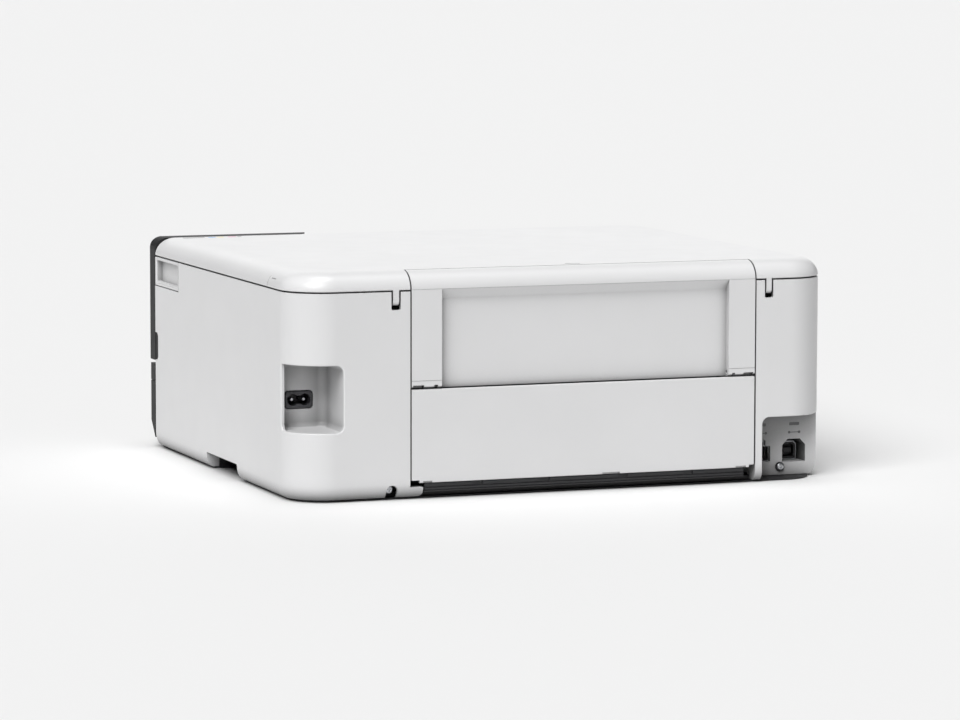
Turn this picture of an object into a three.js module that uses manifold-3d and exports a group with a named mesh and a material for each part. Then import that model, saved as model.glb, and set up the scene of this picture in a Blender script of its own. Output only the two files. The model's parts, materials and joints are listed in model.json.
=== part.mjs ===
// A compact home all-in-one inkjet printer, as an assembly of separate parts.
// Millimetres, +Z up. The origin is on the floor under the middle of the printer. The front faces -Y,
// the rear +Y, and +X is the right-hand side for someone who stands in front of it.
import * as THREE from "three";
import { mergeVertices } from "three/addons/utils/BufferGeometryUtils.js";
import Module from "manifold-3d";

const wasm = await Module();
wasm.setup();

// ---------------------------------------------------------------- driving dimensions
const WIDTH = 372;
const DEPTH = 324;
const HEIGHT = 146;
const CORNER_R = 29; // plan radius of the body's corners
const CORNER_STEPS = 9; // flats in each quarter turn of those corners
const WALL = 2.5; // moulded shell thickness
const GAP = 0.4; // running gap between neighbouring parts
const SEAM = 1; // visible seam between shells
const FAR = 200; // cutting bodies reach this far out, past every part

const SIDE = WIDTH / 2;
const REAR = DEPTH / 2;
const FRONT = -DEPTH / 2;
const SHELL_BOTTOM = 2.5; // lower edge of the white shells
const UNDER_ACROSS = 7; // the shells' lower edge rounds under by this much, over UNDER_RISE
const UNDER_RISE = 10;
const SHELL_TOP = 133.2; // upper edge of the white shells, under the lid
const LID_BOTTOM = SHELL_TOP + SEAM;
const BEZEL_BACK = -147.2; // rear of the black front parts
const SHELL_FRONT = -146.9; // front edge of the white shells

// The opening between the two rear columns, which the paper support and the rear cover fill.
const MODULE_RIGHT = 106.8;
const MODULE_LEFT = -130.8;
const COLUMN_RIGHT = MODULE_RIGHT + SEAM;
const COLUMN_LEFT = MODULE_LEFT - SEAM;
const MODULE_FRONT = 149;
const MODULE_BOTTOM = 70.9;
const COVER_TOP = 70.4;

// One axis along X carries the scanner unit and the document cover.
const HINGE_Y = 154;
const HINGE_Z = 139;
const HINGE_R = 2.3;
const HINGE_PIN_R = 1;
const HINGE_HOLE_R = 1.35;

const FOLD_Y = 158.2; // axis along X on which the raised paper support leans back
const FOLD_Z = 73.6;
const FOLD_R = 2;
const FOLD_PIN_R = 0.95;

const PANEL_AXIS_Y = -156.5; // axis along X on which the control panel tilts
const PANEL_AXIS_Z = 128.4;
const PANEL_TOP_R = 4.5;

const CASSETTE_TOP = 46;
const TRAY_BOTTOM = 46.6;
const TRAY_TOP = 58.2;
const UPPER_FRONT_BOTTOM = 61;

// ---------------------------------------------------------------- colours
const WHITE = [0xe9eaeb, 0.45, 0];
const BLACK = [0x17181a, 0.4, 0];
const DARK_GREY = [0x3a3b3e, 0.5, 0];
const STEEL = [0xb9bcc0, 0.3, 0.9];
const RUBBER = [0x222222, 0.85, 0];
const BOARD_GREEN = [0x1d5a34, 0.5, 0];
const FOAM_WHITE = [0xf4f4f2, 0.9, 0];
const CLEAR = [0xbfd0cc, 0.05, 0];
const BRASS = [0xc8a24a, 0.3, 0.9];
const INKS = { black: 0x1a1a1a, grey: 0x6d6f72, cyan: 0x1a88b8, magenta: 0xb4285f, yellow: 0xd8bd1c };

// ---------------------------------------------------------------- solid helpers
const printer = new THREE.Group();

function solid(geometry) {
  const bare = geometry.clone();
  bare.deleteAttribute("normal");
  bare.deleteAttribute("uv");
  const merged = mergeVertices(bare, 1e-4);
  const mesh = new wasm.Mesh({
    numProp: 3,
    vertProperties: new Float32Array(merged.attributes.position.array),
    triVerts: new Uint32Array(merged.index.array),
  });
  return new wasm.Manifold(mesh);
}

function part(name, body, [color, roughness, metalness]) {
  const mesh = body.getMesh();
  const geometry = new THREE.BufferGeometry();
  geometry.setAttribute("position", new THREE.BufferAttribute(mesh.vertProperties, 3));
  geometry.setIndex(new THREE.BufferAttribute(mesh.triVerts, 1));
  geometry.computeVertexNormals();
  const material = new THREE.MeshStandardMaterial({ color, roughness, metalness });
  const placed = new THREE.Mesh(geometry, material);
  placed.name = name;
  printer.add(placed);
}

function box(x0, x1, y0, y1, z0, z1) {
  const geometry = new THREE.BoxGeometry(x1 - x0, y1 - y0, z1 - z0);
  geometry.translate((x0 + x1) / 2, (y0 + y1) / 2, (z0 + z1) / 2);
  return solid(geometry);
}

function join(first, ...others) {
  return others.reduce((sum, body) => sum.add(body), first);
}

function cut(first, ...others) {
  return others.reduce((rest, body) => rest.subtract(body), first);
}

function outline(points) {
  return new THREE.Shape(points.map(([a, b]) => new THREE.Vector2(a, b)));
}

// A rounded rectangle. The radii run: low-low, high-low, high-high, low-high.
function roundedRect(a0, a1, b0, b1, [r00, r10, r11, r01]) {
  const shape = new THREE.Shape();
  shape.moveTo(a0 + r00, b0);
  shape.lineTo(a1 - r10, b0);
  if (r10) shape.absarc(a1 - r10, b0 + r10, r10, -Math.PI / 2, 0);
  shape.lineTo(a1, b1 - r11);
  if (r11) shape.absarc(a1 - r11, b1 - r11, r11, 0, Math.PI / 2);
  shape.lineTo(a0 + r01, b1);
  if (r01) shape.absarc(a0 + r01, b1 - r01, r01, Math.PI / 2, Math.PI);
  shape.lineTo(a0, b0 + r00);
  if (r00) shape.absarc(a0 + r00, b0 + r00, r00, Math.PI, (3 * Math.PI) / 2);
  return shape;
}

function prismZ(shape, z0, z1, curveSegments = 6) {
  const geometry = new THREE.ExtrudeGeometry(shape, { depth: z1 - z0, bevelEnabled: false, curveSegments });
  geometry.translate(0, 0, z0);
  return solid(geometry);
}

// A profile in (y, z) extruded along X.
function prismX(shape, x0, x1, curveSegments = 6) {
  const geometry = new THREE.ExtrudeGeometry(shape, { depth: x1 - x0, bevelEnabled: false, curveSegments });
  geometry.applyMatrix4(new THREE.Matrix4().set(0, 0, 1, x0, 1, 0, 0, 0, 0, 1, 0, 0, 0, 0, 0, 1));
  return solid(geometry);
}

// A profile in (z, x) extruded along Y.
function prismY(shape, y0, y1, curveSegments = 6) {
  const geometry = new THREE.ExtrudeGeometry(shape, { depth: y1 - y0, bevelEnabled: false, curveSegments });
  geometry.applyMatrix4(new THREE.Matrix4().set(0, 1, 0, 0, 0, 0, 1, y0, 1, 0, 0, 0, 0, 0, 0, 1));
  return solid(geometry);
}

function circle(a, b, r) {
  const shape = new THREE.Shape();
  shape.absarc(a, b, r, 0, 2 * Math.PI);
  return shape;
}

const rodX = (y, z, r, x0, x1, segments = 16) => prismX(circle(y, z, r), x0, x1, segments);
const rodY = (x, z, r, y0, y1, segments = 16) => prismY(circle(z, x, r), y0, y1, segments);
const rodZ = (x, y, r, z0, z1, segments = 16) => prismZ(circle(x, y, r), z0, z1, segments);

// The plan of the body, moved in by inset. Its front right corner has a smaller radius.
function bodyPlan(inset, frontRightR = 3) {
  const r = CORNER_R - inset;
  const small = Math.max(frontRightR - inset, 0.5);
  return roundedRect(-SIDE + inset, SIDE - inset, FRONT + inset, REAR - inset, [r, small, r, r]);
}

const bodyPrism = (inset, z0, z1) => prismZ(bodyPlan(inset), z0, z1, CORNER_STEPS);

// The body moved in by inset, with its lower edge rounded under. It reaches above the whole printer.
function roundedBody(inset) {
  const geometry = new THREE.ExtrudeGeometry(bodyPlan(inset, LID_FRONT_RIGHT_R), {
    depth: HEIGHT,
    bevelThickness: UNDER_RISE,
    bevelSize: UNDER_ACROSS,
    bevelOffset: -UNDER_ACROSS,
    bevelSegments: 4,
    curveSegments: CORNER_STEPS,
  });
  geometry.translate(0, 0, SHELL_BOTTOM + UNDER_RISE);
  return solid(geometry);
}

// ---------------------------------------------------------------- lid: document cover and pad
// A pillow-edged slab: an outline whose upper edge rounds in by across, over a height of rise.
function pillow(inset, across, rise, top) {
  const geometry = new THREE.ExtrudeGeometry(bodyPlan(inset, LID_FRONT_RIGHT_R), {
    depth: 2,
    bevelThickness: rise,
    bevelSize: across,
    bevelOffset: -across,
    bevelSegments: 5,
    curveSegments: CORNER_STEPS,
  });
  geometry.translate(0, 0, top - rise - 2);
  return solid(geometry);
}

const LID_RISE = 12;
const LID_ROUND = 14;
const LID_SKIN = 2.2;
const LID_FRONT_RIGHT_R = 15.5; // this corner of the slab is cut away for the raised black strip
const LID_CUT_R = 8.9; // the lid turns past the paper support's front edge at this radius
const BEZEL_TIP_X = 72.5;
const BEZEL_STEP_X = 80;
const LID_STEP_Y = -146.2;
const TAB_BOTTOM = 122.5;
const TABS = [
  [114.3, 120.3],
  [-143.2, -138.1],
];
const LID_EARS = [
  [110.6, 113.2],
  [136, 138.6],
  [-136.8, -134.2],
  [-161, -158.4],
];
const LID_HOLES = [
  [109, 140],
  [-162.5, -133],
];

function hingeEar(x0, x1, rise) {
  const ear = join(
    rodX(HINGE_Y, HINGE_Z, HINGE_R, x0, x1, 8),
    box(x0, x1, HINGE_Y - 1.8, HINGE_Y + 1.8, HINGE_Z, HINGE_Z + rise),
  );
  return ear;
}

function documentCover() {
  const insideTop = HEIGHT - 2.4;
  const upper = box(-FAR, FAR, -FAR, FAR, LID_BOTTOM, FAR);
  const behindModule = (grow, front) =>
    box(COLUMN_LEFT - grow, COLUMN_RIGHT + grow, front - grow, FAR, 0, FAR);
  const stepPlan = (grow) =>
    prismZ(
      outline([
        [BEZEL_TIP_X - 0.8 - grow, -FAR],
        [FAR, -FAR],
        [FAR, LID_STEP_Y + grow],
        [BEZEL_STEP_X - 0.8 - grow, LID_STEP_Y + grow],
        [BEZEL_TIP_X - 0.8 - grow, FRONT + 1],
      ]),
      0,
      FAR,
    );
  const swing = (r) => rodX(HINGE_Y, HINGE_Z, r, COLUMN_LEFT, COLUMN_RIGHT, 24);
  const outer = cut(
    pillow(0, LID_ROUND, LID_RISE, HEIGHT).intersect(upper),
    behindModule(0, 148.4),
    swing(LID_CUT_R),
    stepPlan(0),
  );
  const hollow = cut(
    pillow(LID_SKIN, 12.6, 9.6, insideTop).intersect(box(-FAR, FAR, -FAR, FAR, 100, insideTop)),
    behindModule(LID_SKIN, 144),
    stepPlan(LID_SKIN),
  );
  const skinned = cut(outer, hollow);
  const tabs = TABS.map(([x0, x1]) => box(x0, x1, 158.6, REAR, TAB_BOTTOM, LID_BOTTOM + 2.5));
  const ears = LID_EARS.map(([x0, x1]) => hingeEar(x0, x1, 3.6));
  const holes = LID_HOLES.map(([x0, x1]) => rodX(HINGE_Y, HINGE_Z, HINGE_HOLE_R, x0, x1, 6));
  part("document_cover", cut(join(skinned, ...tabs, ...ears), ...holes), WHITE);
  part("document_pad", box(-158, 158, -118, 124, LID_BOTTOM, insideTop - GAP), FOAM_WHITE);
}

// ---------------------------------------------------------------- white side covers
const POCKET = { x0: 152.3, y0: 124.5, sideFrom: 136.5, z0: 44.6, z1: 87.4, r: 4.5 };
const INLET = { x: 170.2, z: 62.7, width: 18.4, height: 11.2 };
const PORTS = { x1: -136.9, y0: 140.5, z1: 42.9, r: 4.8 };
const GRIP = { y0: -140.5, y1: -91, z0: 113.8, z1: 130 };
const HAND_NOTCH = { y0: -26.4, y1: 42, z1: 11.3 };
const TAB_SLOT_BOTTOM = 121.2;

// The inner upper edge slopes so that the lid's rear edge can turn down past it.
function upperChamfer() {
  const geometry = new THREE.ExtrudeGeometry(bodyPlan(0.45), {
    depth: 1,
    bevelThickness: 2.3,
    bevelSize: 2.05,
    bevelOffset: -2.05,
    bevelSegments: 1,
    curveSegments: CORNER_STEPS,
  });
  geometry.translate(0, 0, SHELL_TOP);
  return solid(geometry);
}

// The wall shared by both side covers, cut for the lid, the scanner's grips and the hand notches.
function shellRing() {
  const gripGap = 0.7;
  const notch = roundedRect(HAND_NOTCH.y0, HAND_NOTCH.y1, -5, HAND_NOTCH.z1, [0, 0, 5, 5]);
  return cut(
    roundedBody(0),
    roundedBody(WALL),
    bodyPrism(WALL + UNDER_ACROSS, 0, SHELL_BOTTOM + 1),
    box(-FAR, FAR, -FAR, FAR, SHELL_TOP, 300),
    upperChamfer(),
    box(-FAR, FAR, -FAR, SHELL_FRONT, 0, HEIGHT),
    box(-FAR, FAR, -142.2, GRIP.y1 + gripGap, GRIP.z0 - gripGap, HEIGHT),
    prismX(notch, -FAR, FAR, 3),
  );
}

function tabSlot([x0, x1]) {
  return box(x0 - 0.8, x1 + 0.8, 150, 170, TAB_SLOT_BOTTOM, HEIGHT);
}

function rightSideCover() {
  const opening = roundedRect(POCKET.z0, POCKET.z1, POCKET.x0, 220, [POCKET.r, POCKET.r, 0, 0]);
  const sideOpening = roundedRect(POCKET.sideFrom, 220, POCKET.z0, POCKET.z1, [POCKET.r, 0, 0, 0.8]);
  const pocketSpace = join(
    prismY(opening, POCKET.y0, 170, 3).intersect(box(140, SIDE - WALL, 100, 170, 0, HEIGHT)),
    prismX(sideOpening, SIDE - WALL - 1, 190, 3),
  );
  const liner = box(
    POCKET.x0 - WALL,
    SIDE,
    POCKET.y0 - WALL,
    REAR,
    POCKET.z0 - WALL,
    POCKET.z1 + WALL,
  ).intersect(roundedBody(0.6));
  const inletHole = box(
    INLET.x - INLET.width / 2 - GAP,
    INLET.x + INLET.width / 2 + GAP,
    100,
    130,
    INLET.z - INLET.height / 2 - GAP,
    INLET.z + INLET.height / 2 + GAP,
  );
  const returnWall = box(COLUMN_RIGHT, COLUMN_RIGHT + WALL, MODULE_FRONT, REAR - 1, SHELL_BOTTOM, 128);
  const tongue = box(99, COLUMN_RIGHT + 1, 153, REAR, SHELL_BOTTOM, 8);
  const screwNotch = box(116.2, 123.9, 148, 170, 0, 9.5);
  const frontNotch = prismX(
    outline([
      [-150, 61.7],
      [-142.5, 61.7],
      [-140.5, 63.7],
      [-140.5, 78.7],
      [-142.5, 80.7],
      [-150, 80.7],
    ]),
    180,
    190,
  );
  const wall = shellRing().intersect(box(COLUMN_RIGHT, FAR, -FAR, FAR, 0, HEIGHT));
  const body = cut(
    join(wall, liner, returnWall, tongue).intersect(roundedBody(0)),
    pocketSpace,
    inletHole,
    screwNotch,
    frontNotch,
    tabSlot(TABS[0]),
  );
  part("right_side_cover", body, WHITE);
}

// The cut-outs behind which the network and USB sockets sit. The USB one has bevelled upper corners.
const USB = { x: -169, z0: 9.9, width: 16.6, height: 15.2 };
const LAN = { x: -145.2, z0: 10.4, width: 13.6, height: 14.6 };
const PORT_SCREW = { x: -158.9, z: 6.9 };

function leftSideCover() {
  const floor = PORTS.y0 - WALL;
  const space = prismY(
    roundedRect(-10, PORTS.z1, -220, PORTS.x1, [0, 0, PORTS.r, 0]),
    PORTS.y0,
    170,
    4,
  );
  const linerTop = PORTS.z1 + WALL;
  const liner = box(-SIDE, PORTS.x1 + WALL, floor, REAR, SHELL_BOTTOM, linerTop).intersect(roundedBody(0.6));
  const top = USB.z0 + USB.height;
  const half = USB.width / 2;
  const usbHole = prismY(
    outline([
      [USB.z0, USB.x - half],
      [top - 4, USB.x - half],
      [top, USB.x - half + 4],
      [top, USB.x + half - 4],
      [top - 4, USB.x + half],
      [USB.z0, USB.x + half],
    ]),
    100,
    150,
  );
  const lanHole = join(
    box(LAN.x - LAN.width / 2, LAN.x + LAN.width / 2, 100, 150, LAN.z0, LAN.z0 + 10.6),
    box(LAN.x - 3.4, LAN.x + 3.4, 100, 150, LAN.z0 + 10, LAN.z0 + LAN.height),
  );
  const screwHole = rodY(PORT_SCREW.x, PORT_SCREW.z, 1.9, 100, 150, 6);
  const returnWall = box(COLUMN_LEFT - WALL, COLUMN_LEFT, MODULE_FRONT, REAR - 1, SHELL_BOTTOM, 128);
  const wall = shellRing().intersect(box(-FAR, COLUMN_LEFT, -FAR, FAR, 0, HEIGHT));
  const body = cut(
    join(wall, liner, returnWall).intersect(roundedBody(0)),
    space,
    usbHole,
    lanHole,
    screwHole,
    tabSlot(TABS[1]),
  );
  part("left_side_cover", body, WHITE);
}

// ---------------------------------------------------------------- base, feet and screws
const FEET = {
  foot_front_right: [140, -118],
  foot_front_left: [-140, -118],
  foot_rear_right: [140, 112],
  foot_rear_left: [-140, 112],
};
const FOOT_R = 9;
const BASE_BOTTOM = 1.2;
const BASE_TOP = 4;

function baseChassis() {
  const plate = bodyPrism(UNDER_ACROSS + WALL + GAP, BASE_BOTTOM, BASE_TOP);
  const holes = Object.values(FEET).map(([x, y]) => rodZ(x, y, FOOT_R + GAP, 0, 10, 12));
  const notchPad = 14; // the plate is cut back where a hand reaches under the sides
  const handSpaces = [-1, 1].map((side) => {
    const x0 = side < 0 ? -FAR : SIDE - notchPad;
    return box(x0, x0 + FAR - SIDE + notchPad, HAND_NOTCH.y0 - 1, HAND_NOTCH.y1 + 1, 0, 10);
  });
  const portSpace = box(-FAR, PORTS.x1 + WALL + GAP, PORTS.y0 - 3, FAR, 2, 10);
  const columnSpaces = join(
    box(98, COLUMN_RIGHT + WALL + GAP, 145.5, FAR, 2, 10),
    box(COLUMN_LEFT - WALL - GAP, COLUMN_LEFT + GAP, 145.5, FAR, 2, 10),
    box(112, 130, 150, FAR, 2, 10),
  );
  const frontEdge = box(-FAR, FAR, -FAR, -148.8, 0, 10);
  const body = cut(plate, ...holes, ...handSpaces, portSpace, columnSpaces, frontEdge);
  part("base_chassis", body, BLACK);
  for (const [name, [x, y]] of Object.entries(FEET)) {
    part(name, rodZ(x, y, FOOT_R, 0, 3.4, 12), RUBBER);
  }
}

// A pan-head screw along Y whose head faces the rear, with a cross recess.
function panScrew(name, x, y, z, headR, length) {
  const head = rodY(x, z, headR, y - 1.8, y, 10);
  const shank = rodY(x, z, headR * 0.45, y - length, y - 1, 8);
  const arm = headR * 0.62;
  const cross = join(
    box(x - arm, x + arm, y - 1, y + 1, z - 0.45, z + 0.45),
    box(x - 0.45, x + 0.45, y - 1, y + 1, z - arm, z + arm),
  );
  part(name, cut(join(head, shank), cross), STEEL);
}

function screws() {
  panScrew("port_screw", PORT_SCREW.x, PORTS.y0 + 2.2, PORT_SCREW.z, 3.2, 12);
  panScrew("shell_screw", 120, 156, 6.6, 2.9, 12);
}

// ---------------------------------------------------------------- power inlet
function powerInlet() {
  const { x, z, width, height } = INLET;
  const lobe = 3.5;
  const spacing = 8;
  const well = join(
    rodY(x - spacing / 2, z, lobe, 112, 130, 10),
    rodY(x + spacing / 2, z, lobe, 112, 130, 10),
    box(x - spacing / 2, x + spacing / 2, 112, 130, z - 2.9, z + 2.9),
  );
  const block = box(x - width / 2, x + width / 2, 98, 125.2, z - height / 2, z + height / 2);
  const pinHoles = [-1, 1].map((side) => rodY(x + (side * spacing) / 2, z, 1.6, 90, 130, 8));
  part("power_inlet", cut(block, well, ...pinHoles), BLACK);
  const pins = [-1, 1].map((side) => rodY(x + (side * spacing) / 2, z, 1.15, 94, 123, 8));
  const terminal = box(x - spacing / 2 - 2, x + spacing / 2 + 2, 93, 96, z - 2, z + 2);
  part("inlet_contacts", join(terminal, ...pins), BRASS);
}

// ---------------------------------------------------------------- sockets and boards
function socketsAndBoards() {
  const board = { z0: 7, z1: 8.6 };
  const usbBottom = USB.z0 + GAP;
  const usbCase = box(USB.x - 6, USB.x + 6, 122, 139.8, usbBottom, usbBottom + 12.2);
  const cavity = box(USB.x - 4.2, USB.x + 4.2, 130, 145, usbBottom + 2.2, usbBottom + 10);
  const tongue = box(USB.x - 2.8, USB.x + 2.8, 129, 139.4, usbBottom + 4.5, usbBottom + 7.7);
  part("usb_socket", join(cut(usbCase, cavity), tongue), STEEL);
  const lanCase = box(LAN.x - 7.9, LAN.x + 7.9, 121, 137.6, board.z1 + GAP, board.z1 + GAP + 15.6);
  const lanCavity = join(
    box(LAN.x - 5.9, LAN.x + 5.9, 126, 145, LAN.z0 + 1.2, LAN.z0 + 9.4),
    box(LAN.x - 2.6, LAN.x + 2.6, 126, 145, LAN.z0 + 9, LAN.z0 + 12.6),
  );
  part("network_socket", cut(lanCase, lanCavity), STEEL);
  const boardSolid = cut(
    box(-181, -124, 46, 136, board.z0, board.z1),
    box(PORT_SCREW.x - 4, PORT_SCREW.x + 4, 125, 150, 0, 20),
  );
  const chip = box(-148, -128, 52, 72, board.z1 - 0.5, board.z1 + 3);
  const coolingBlock = box(-172, -150, 76, 98, board.z1 - 0.5, board.z1 + 14);
  part("main_board", join(boardSolid, chip, coolingBlock), BOARD_GREEN);
  part("power_supply", cut(box(125, 169, -58, 118, 6, 38), box(120, 150, 100, 130, 0, 60)), DARK_GREY);
  part("waste_ink_absorber", box(125, 181, -140, -66, 6, 30), FOAM_WHITE);
}

// ---------------------------------------------------------------- black front
function frontFrame() {
  const bevel = 3.2;
  const endProfile = (top) =>
    outline([
      [FRONT, UPPER_FRONT_BOTTOM + bevel],
      [FRONT + bevel, UPPER_FRONT_BOTTOM],
      [BEZEL_BACK, UPPER_FRONT_BOTTOM],
      [BEZEL_BACK, top],
      [FRONT, top],
    ]);
  const plan = bodyPrism(0, 0, HEIGHT);
  const rightEnd = prismX(endProfile(HEIGHT), 172, SIDE).intersect(plan);
  const leftEnd = prismX(endProfile(SHELL_TOP), -SIDE, -172).intersect(plan);
  const crown = prismZ(
    outline([
      [BEZEL_TIP_X, FRONT],
      [SIDE - 3, FRONT],
      [SIDE - 3, BEZEL_BACK],
      [BEZEL_STEP_X, BEZEL_BACK],
      [BEZEL_TIP_X, FRONT + 1],
    ]),
    LID_BOTTOM,
    HEIGHT,
  );
  const backPlate = box(-180, 180, -149.6, BEZEL_BACK, 64, SHELL_TOP);
  const crownFoot = box(BEZEL_STEP_X + 2, 174, -149.6, BEZEL_BACK, SHELL_TOP - 1, LID_BOTTOM + 1);
  const legs = [-1, 1].map((side) => {
    const x0 = side < 0 ? -174 : 148;
    return box(x0, x0 + 26, -148.9, -143, BASE_TOP + GAP, 66);
  });
  const notchFiller = box(180, SIDE - 0.4, -148, -142.9, 62.2, 80.2);
  const cableHole = box(-40, 0, -160, -140, 90, 110);
  const body = cut(
    join(rightEnd, leftEnd, crown, backPlate, crownFoot, ...legs, notchFiller),
    cableHole,
  );
  part("front_frame", body, BLACK);
}

// The tilting control panel is a shell, open at the rear, whose top edge is round about its axis.
const PANEL_X = 171.4;
const PANEL_FACE = PANEL_AXIS_Y - PANEL_TOP_R;
const PANEL_BOTTOM = 66;
const PANEL_BACK = -150.2;
const BUTTONS = { power_button: -148, stop_button: 120 };
const BUTTON_Z = 98;
const BUTTON_R = 5;
const SCREEN = { x0: -62, x1: 62, z0: 76, z1: 118 };

function controlPanel() {
  const arc = [0, 1, 2, 3, 4, 5].map((i) => {
    const angle = Math.PI - (i / 5) * (Math.PI / 2);
    return [PANEL_AXIS_Y + PANEL_TOP_R * Math.cos(angle), PANEL_AXIS_Z + PANEL_TOP_R * Math.sin(angle)];
  });
  const profile = outline([
    [PANEL_BACK, PANEL_BOTTOM],
    [PANEL_BACK, PANEL_AXIS_Z],
    ...arc.reverse(),
    [PANEL_FACE, PANEL_BOTTOM + 2],
    [PANEL_FACE + 2, PANEL_BOTTOM],
  ]);
  const shell = prismX(profile, -PANEL_X, PANEL_X);
  const hollow = box(-PANEL_X + WALL, PANEL_X - WALL, PANEL_FACE + 4.6, 0, PANEL_BOTTOM + WALL, 125);
  const screenSeat = box(SCREEN.x0, SCREEN.x1, -170, PANEL_FACE + 2, SCREEN.z0, SCREEN.z1);
  const holes = Object.values(BUTTONS).map((x) => rodY(x, BUTTON_Z, BUTTON_R + GAP, -170, -140, 12));
  part("control_panel", cut(shell, hollow, screenSeat, ...holes), BLACK);
  const screen = box(
    SCREEN.x0 + GAP,
    SCREEN.x1 - GAP,
    PANEL_FACE - 0.2,
    PANEL_FACE + 1.6,
    SCREEN.z0 + GAP,
    SCREEN.z1 - GAP,
  );
  part("touch_screen", screen, [0x0b0d10, 0.08, 0]);
  for (const [name, x] of Object.entries(BUTTONS)) {
    part(name, rodY(x, BUTTON_Z, BUTTON_R, FRONT + 0.1, PANEL_FACE + 4.4, 12), DARK_GREY);
  }
}

// ---------------------------------------------------------------- output tray and its extension
function outputTray() {
  const plan = bodyPrism(0.3, 0, HEIGHT);
  const lipBack = -149.6;
  const lip = box(-SIDE, SIDE, FRONT, lipBack, TRAY_BOTTOM, TRAY_TOP).intersect(plan);
  const chamfer = prismX(
    outline([
      [FRONT - 1, TRAY_TOP - 2.2],
      [FRONT + 2.2, TRAY_TOP + 1],
      [FRONT - 1, TRAY_TOP + 1],
    ]),
    -FAR,
    FAR,
  );
  const plate = box(-118, 118, -151, -30, 51.2, 53.4);
  const runners = [-118, 116].map((x) => box(x, x + 2, -151, -30, 48, 56));
  const paperWay = box(-112, 112, -170, -140, 53.4, 70);
  const extensionSlot = box(-58, 58, -170, -140, 46, 50.8);
  part(
    "output_tray",
    cut(join(lip, plate, ...runners), chamfer, paperWay, extensionSlot),
    BLACK,
  );
  const blade = box(-56, 56, -152, -52, 48.4, 50.2);
  const nose = box(-57, 57, FRONT + 0.3, -151, 47, 50.4);
  const fingerDip = rodZ(0, -166, 12, 40, 60, 12);
  part("output_tray_extension", cut(join(blade, nose), fingerDip), BLACK);
}

// ---------------------------------------------------------------- paper cassette and its guides
const CASSETTE_FACE_BACK = -149.6;
const CASSETTE_SIDE = 118;

function cassette() {
  const plan = bodyPrism(0.3, 0, HEIGHT);
  const face = prismX(
    outline([
      [FRONT, 21.5],
      [-149.8, 6.9],
      [CASSETTE_FACE_BACK, 6.9],
      [CASSETTE_FACE_BACK, CASSETTE_TOP],
      [FRONT, CASSETTE_TOP],
    ]),
    -SIDE,
    SIDE,
  ).intersect(plan);
  const grip = box(-45, 45, -170, -154, 26, 38);
  const faceHollows = [-150, 60].map((x) => box(x, x + 90, -156, -140, 26, 42));
  const tub = cut(
    box(-CASSETTE_SIDE, CASSETTE_SIDE, -151, 148.4, 8, 40),
    box(-CASSETTE_SIDE + WALL, CASSETTE_SIDE - WALL, -148.8, 146, 8 + WALL, 60),
  );
  const slots = [28, 88].map((x) => [
    box(x, x + 30, 18, 22, 0, 12),
    box(-x - 30, -x, 18, 22, 0, 12),
  ]);
  part("paper_cassette", cut(join(face, tub), grip, ...faceHollows, ...slots.flat()), BLACK);
  const guideFloor = 8 + WALL + GAP;
  const guide = (side) => {
    const x = side * 109;
    const inner = x - side * 24;
    const base = box(Math.min(x, inner), Math.max(x, inner), 10, 34, guideFloor, guideFloor + 2);
    return join(base, box(x - 1, x + 1, -40, 60, guideFloor, 32));
  };
  part("paper_guide_right", guide(1), DARK_GREY);
  part("paper_guide_left", guide(-1), DARK_GREY);
  const rearGuide = join(
    box(-10, 10, 118, 142, guideFloor, guideFloor + 2),
    box(-16, 16, 140, 142.4, guideFloor, 30),
  );
  part("paper_length_guide", rearGuide, DARK_GREY);
}

// ---------------------------------------------------------------- rear: paper support and rear cover
const RECESS = { x0: -112.3, x1: 86.4, floor: 156.5, top: 134, innerTop: 129 };
const LUGS = [
  [91.5, 98],
  [-122.6, -116.1],
];

function paperSupport() {
  const arcSteps = 5;
  const crown = [];
  for (let i = 0; i <= arcSteps; i += 1) {
    const angle = (i / arcSteps) * (Math.PI / 2) * 0.95;
    crown.push([REAR - LID_ROUND + LID_ROUND * Math.cos(angle), 134 + (LID_RISE - 0.1) * Math.sin(angle)]);
  }
  const profile = outline([
    [MODULE_FRONT, MODULE_BOTTOM],
    [FOLD_Y + 1.2, MODULE_BOTTOM],
    [REAR, MODULE_BOTTOM + 1.6],
    ...crown,
    [MODULE_FRONT, HEIGHT - 0.4],
  ]);
  const block = prismX(profile, MODULE_LEFT, MODULE_RIGHT);
  const recess = prismX(
    outline([
      [RECESS.floor, 60],
      [180, 60],
      [180, RECESS.top],
      [REAR, RECESS.top],
      [RECESS.floor, RECESS.innerTop],
    ]),
    RECESS.x0,
    RECESS.x1,
  );
  const carrierSpace = box(RECESS.x0 + 1, RECESS.x1 - 1, 100, 154, 60, 132);
  const railHollows = join(
    box(RECESS.x1 + 2.2, MODULE_RIGHT - 2.2, 100, REAR - 2.4, MODULE_BOTTOM + 12, 132),
    box(MODULE_LEFT + 2.2, RECESS.x0 - 2.2, 100, REAR - 2.4, MODULE_BOTTOM + 12, 132),
  );
  const lugSpaces = LUGS.map(([x0, x1]) => box(x0 - 0.5, x1 + 0.5, 100, 160.7, 60, 76.6));
  const pinHole = rodX(FOLD_Y, FOLD_Z, 1.3, -FAR, FAR, 6);
  const pinSpan = box(-126.5, 102, 100, FAR, 60, 90);
  const body = cut(block, recess, carrierSpace, railHollows, ...lugSpaces, pinHole.intersect(pinSpan));
  part("paper_support", body, WHITE);
}

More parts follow.
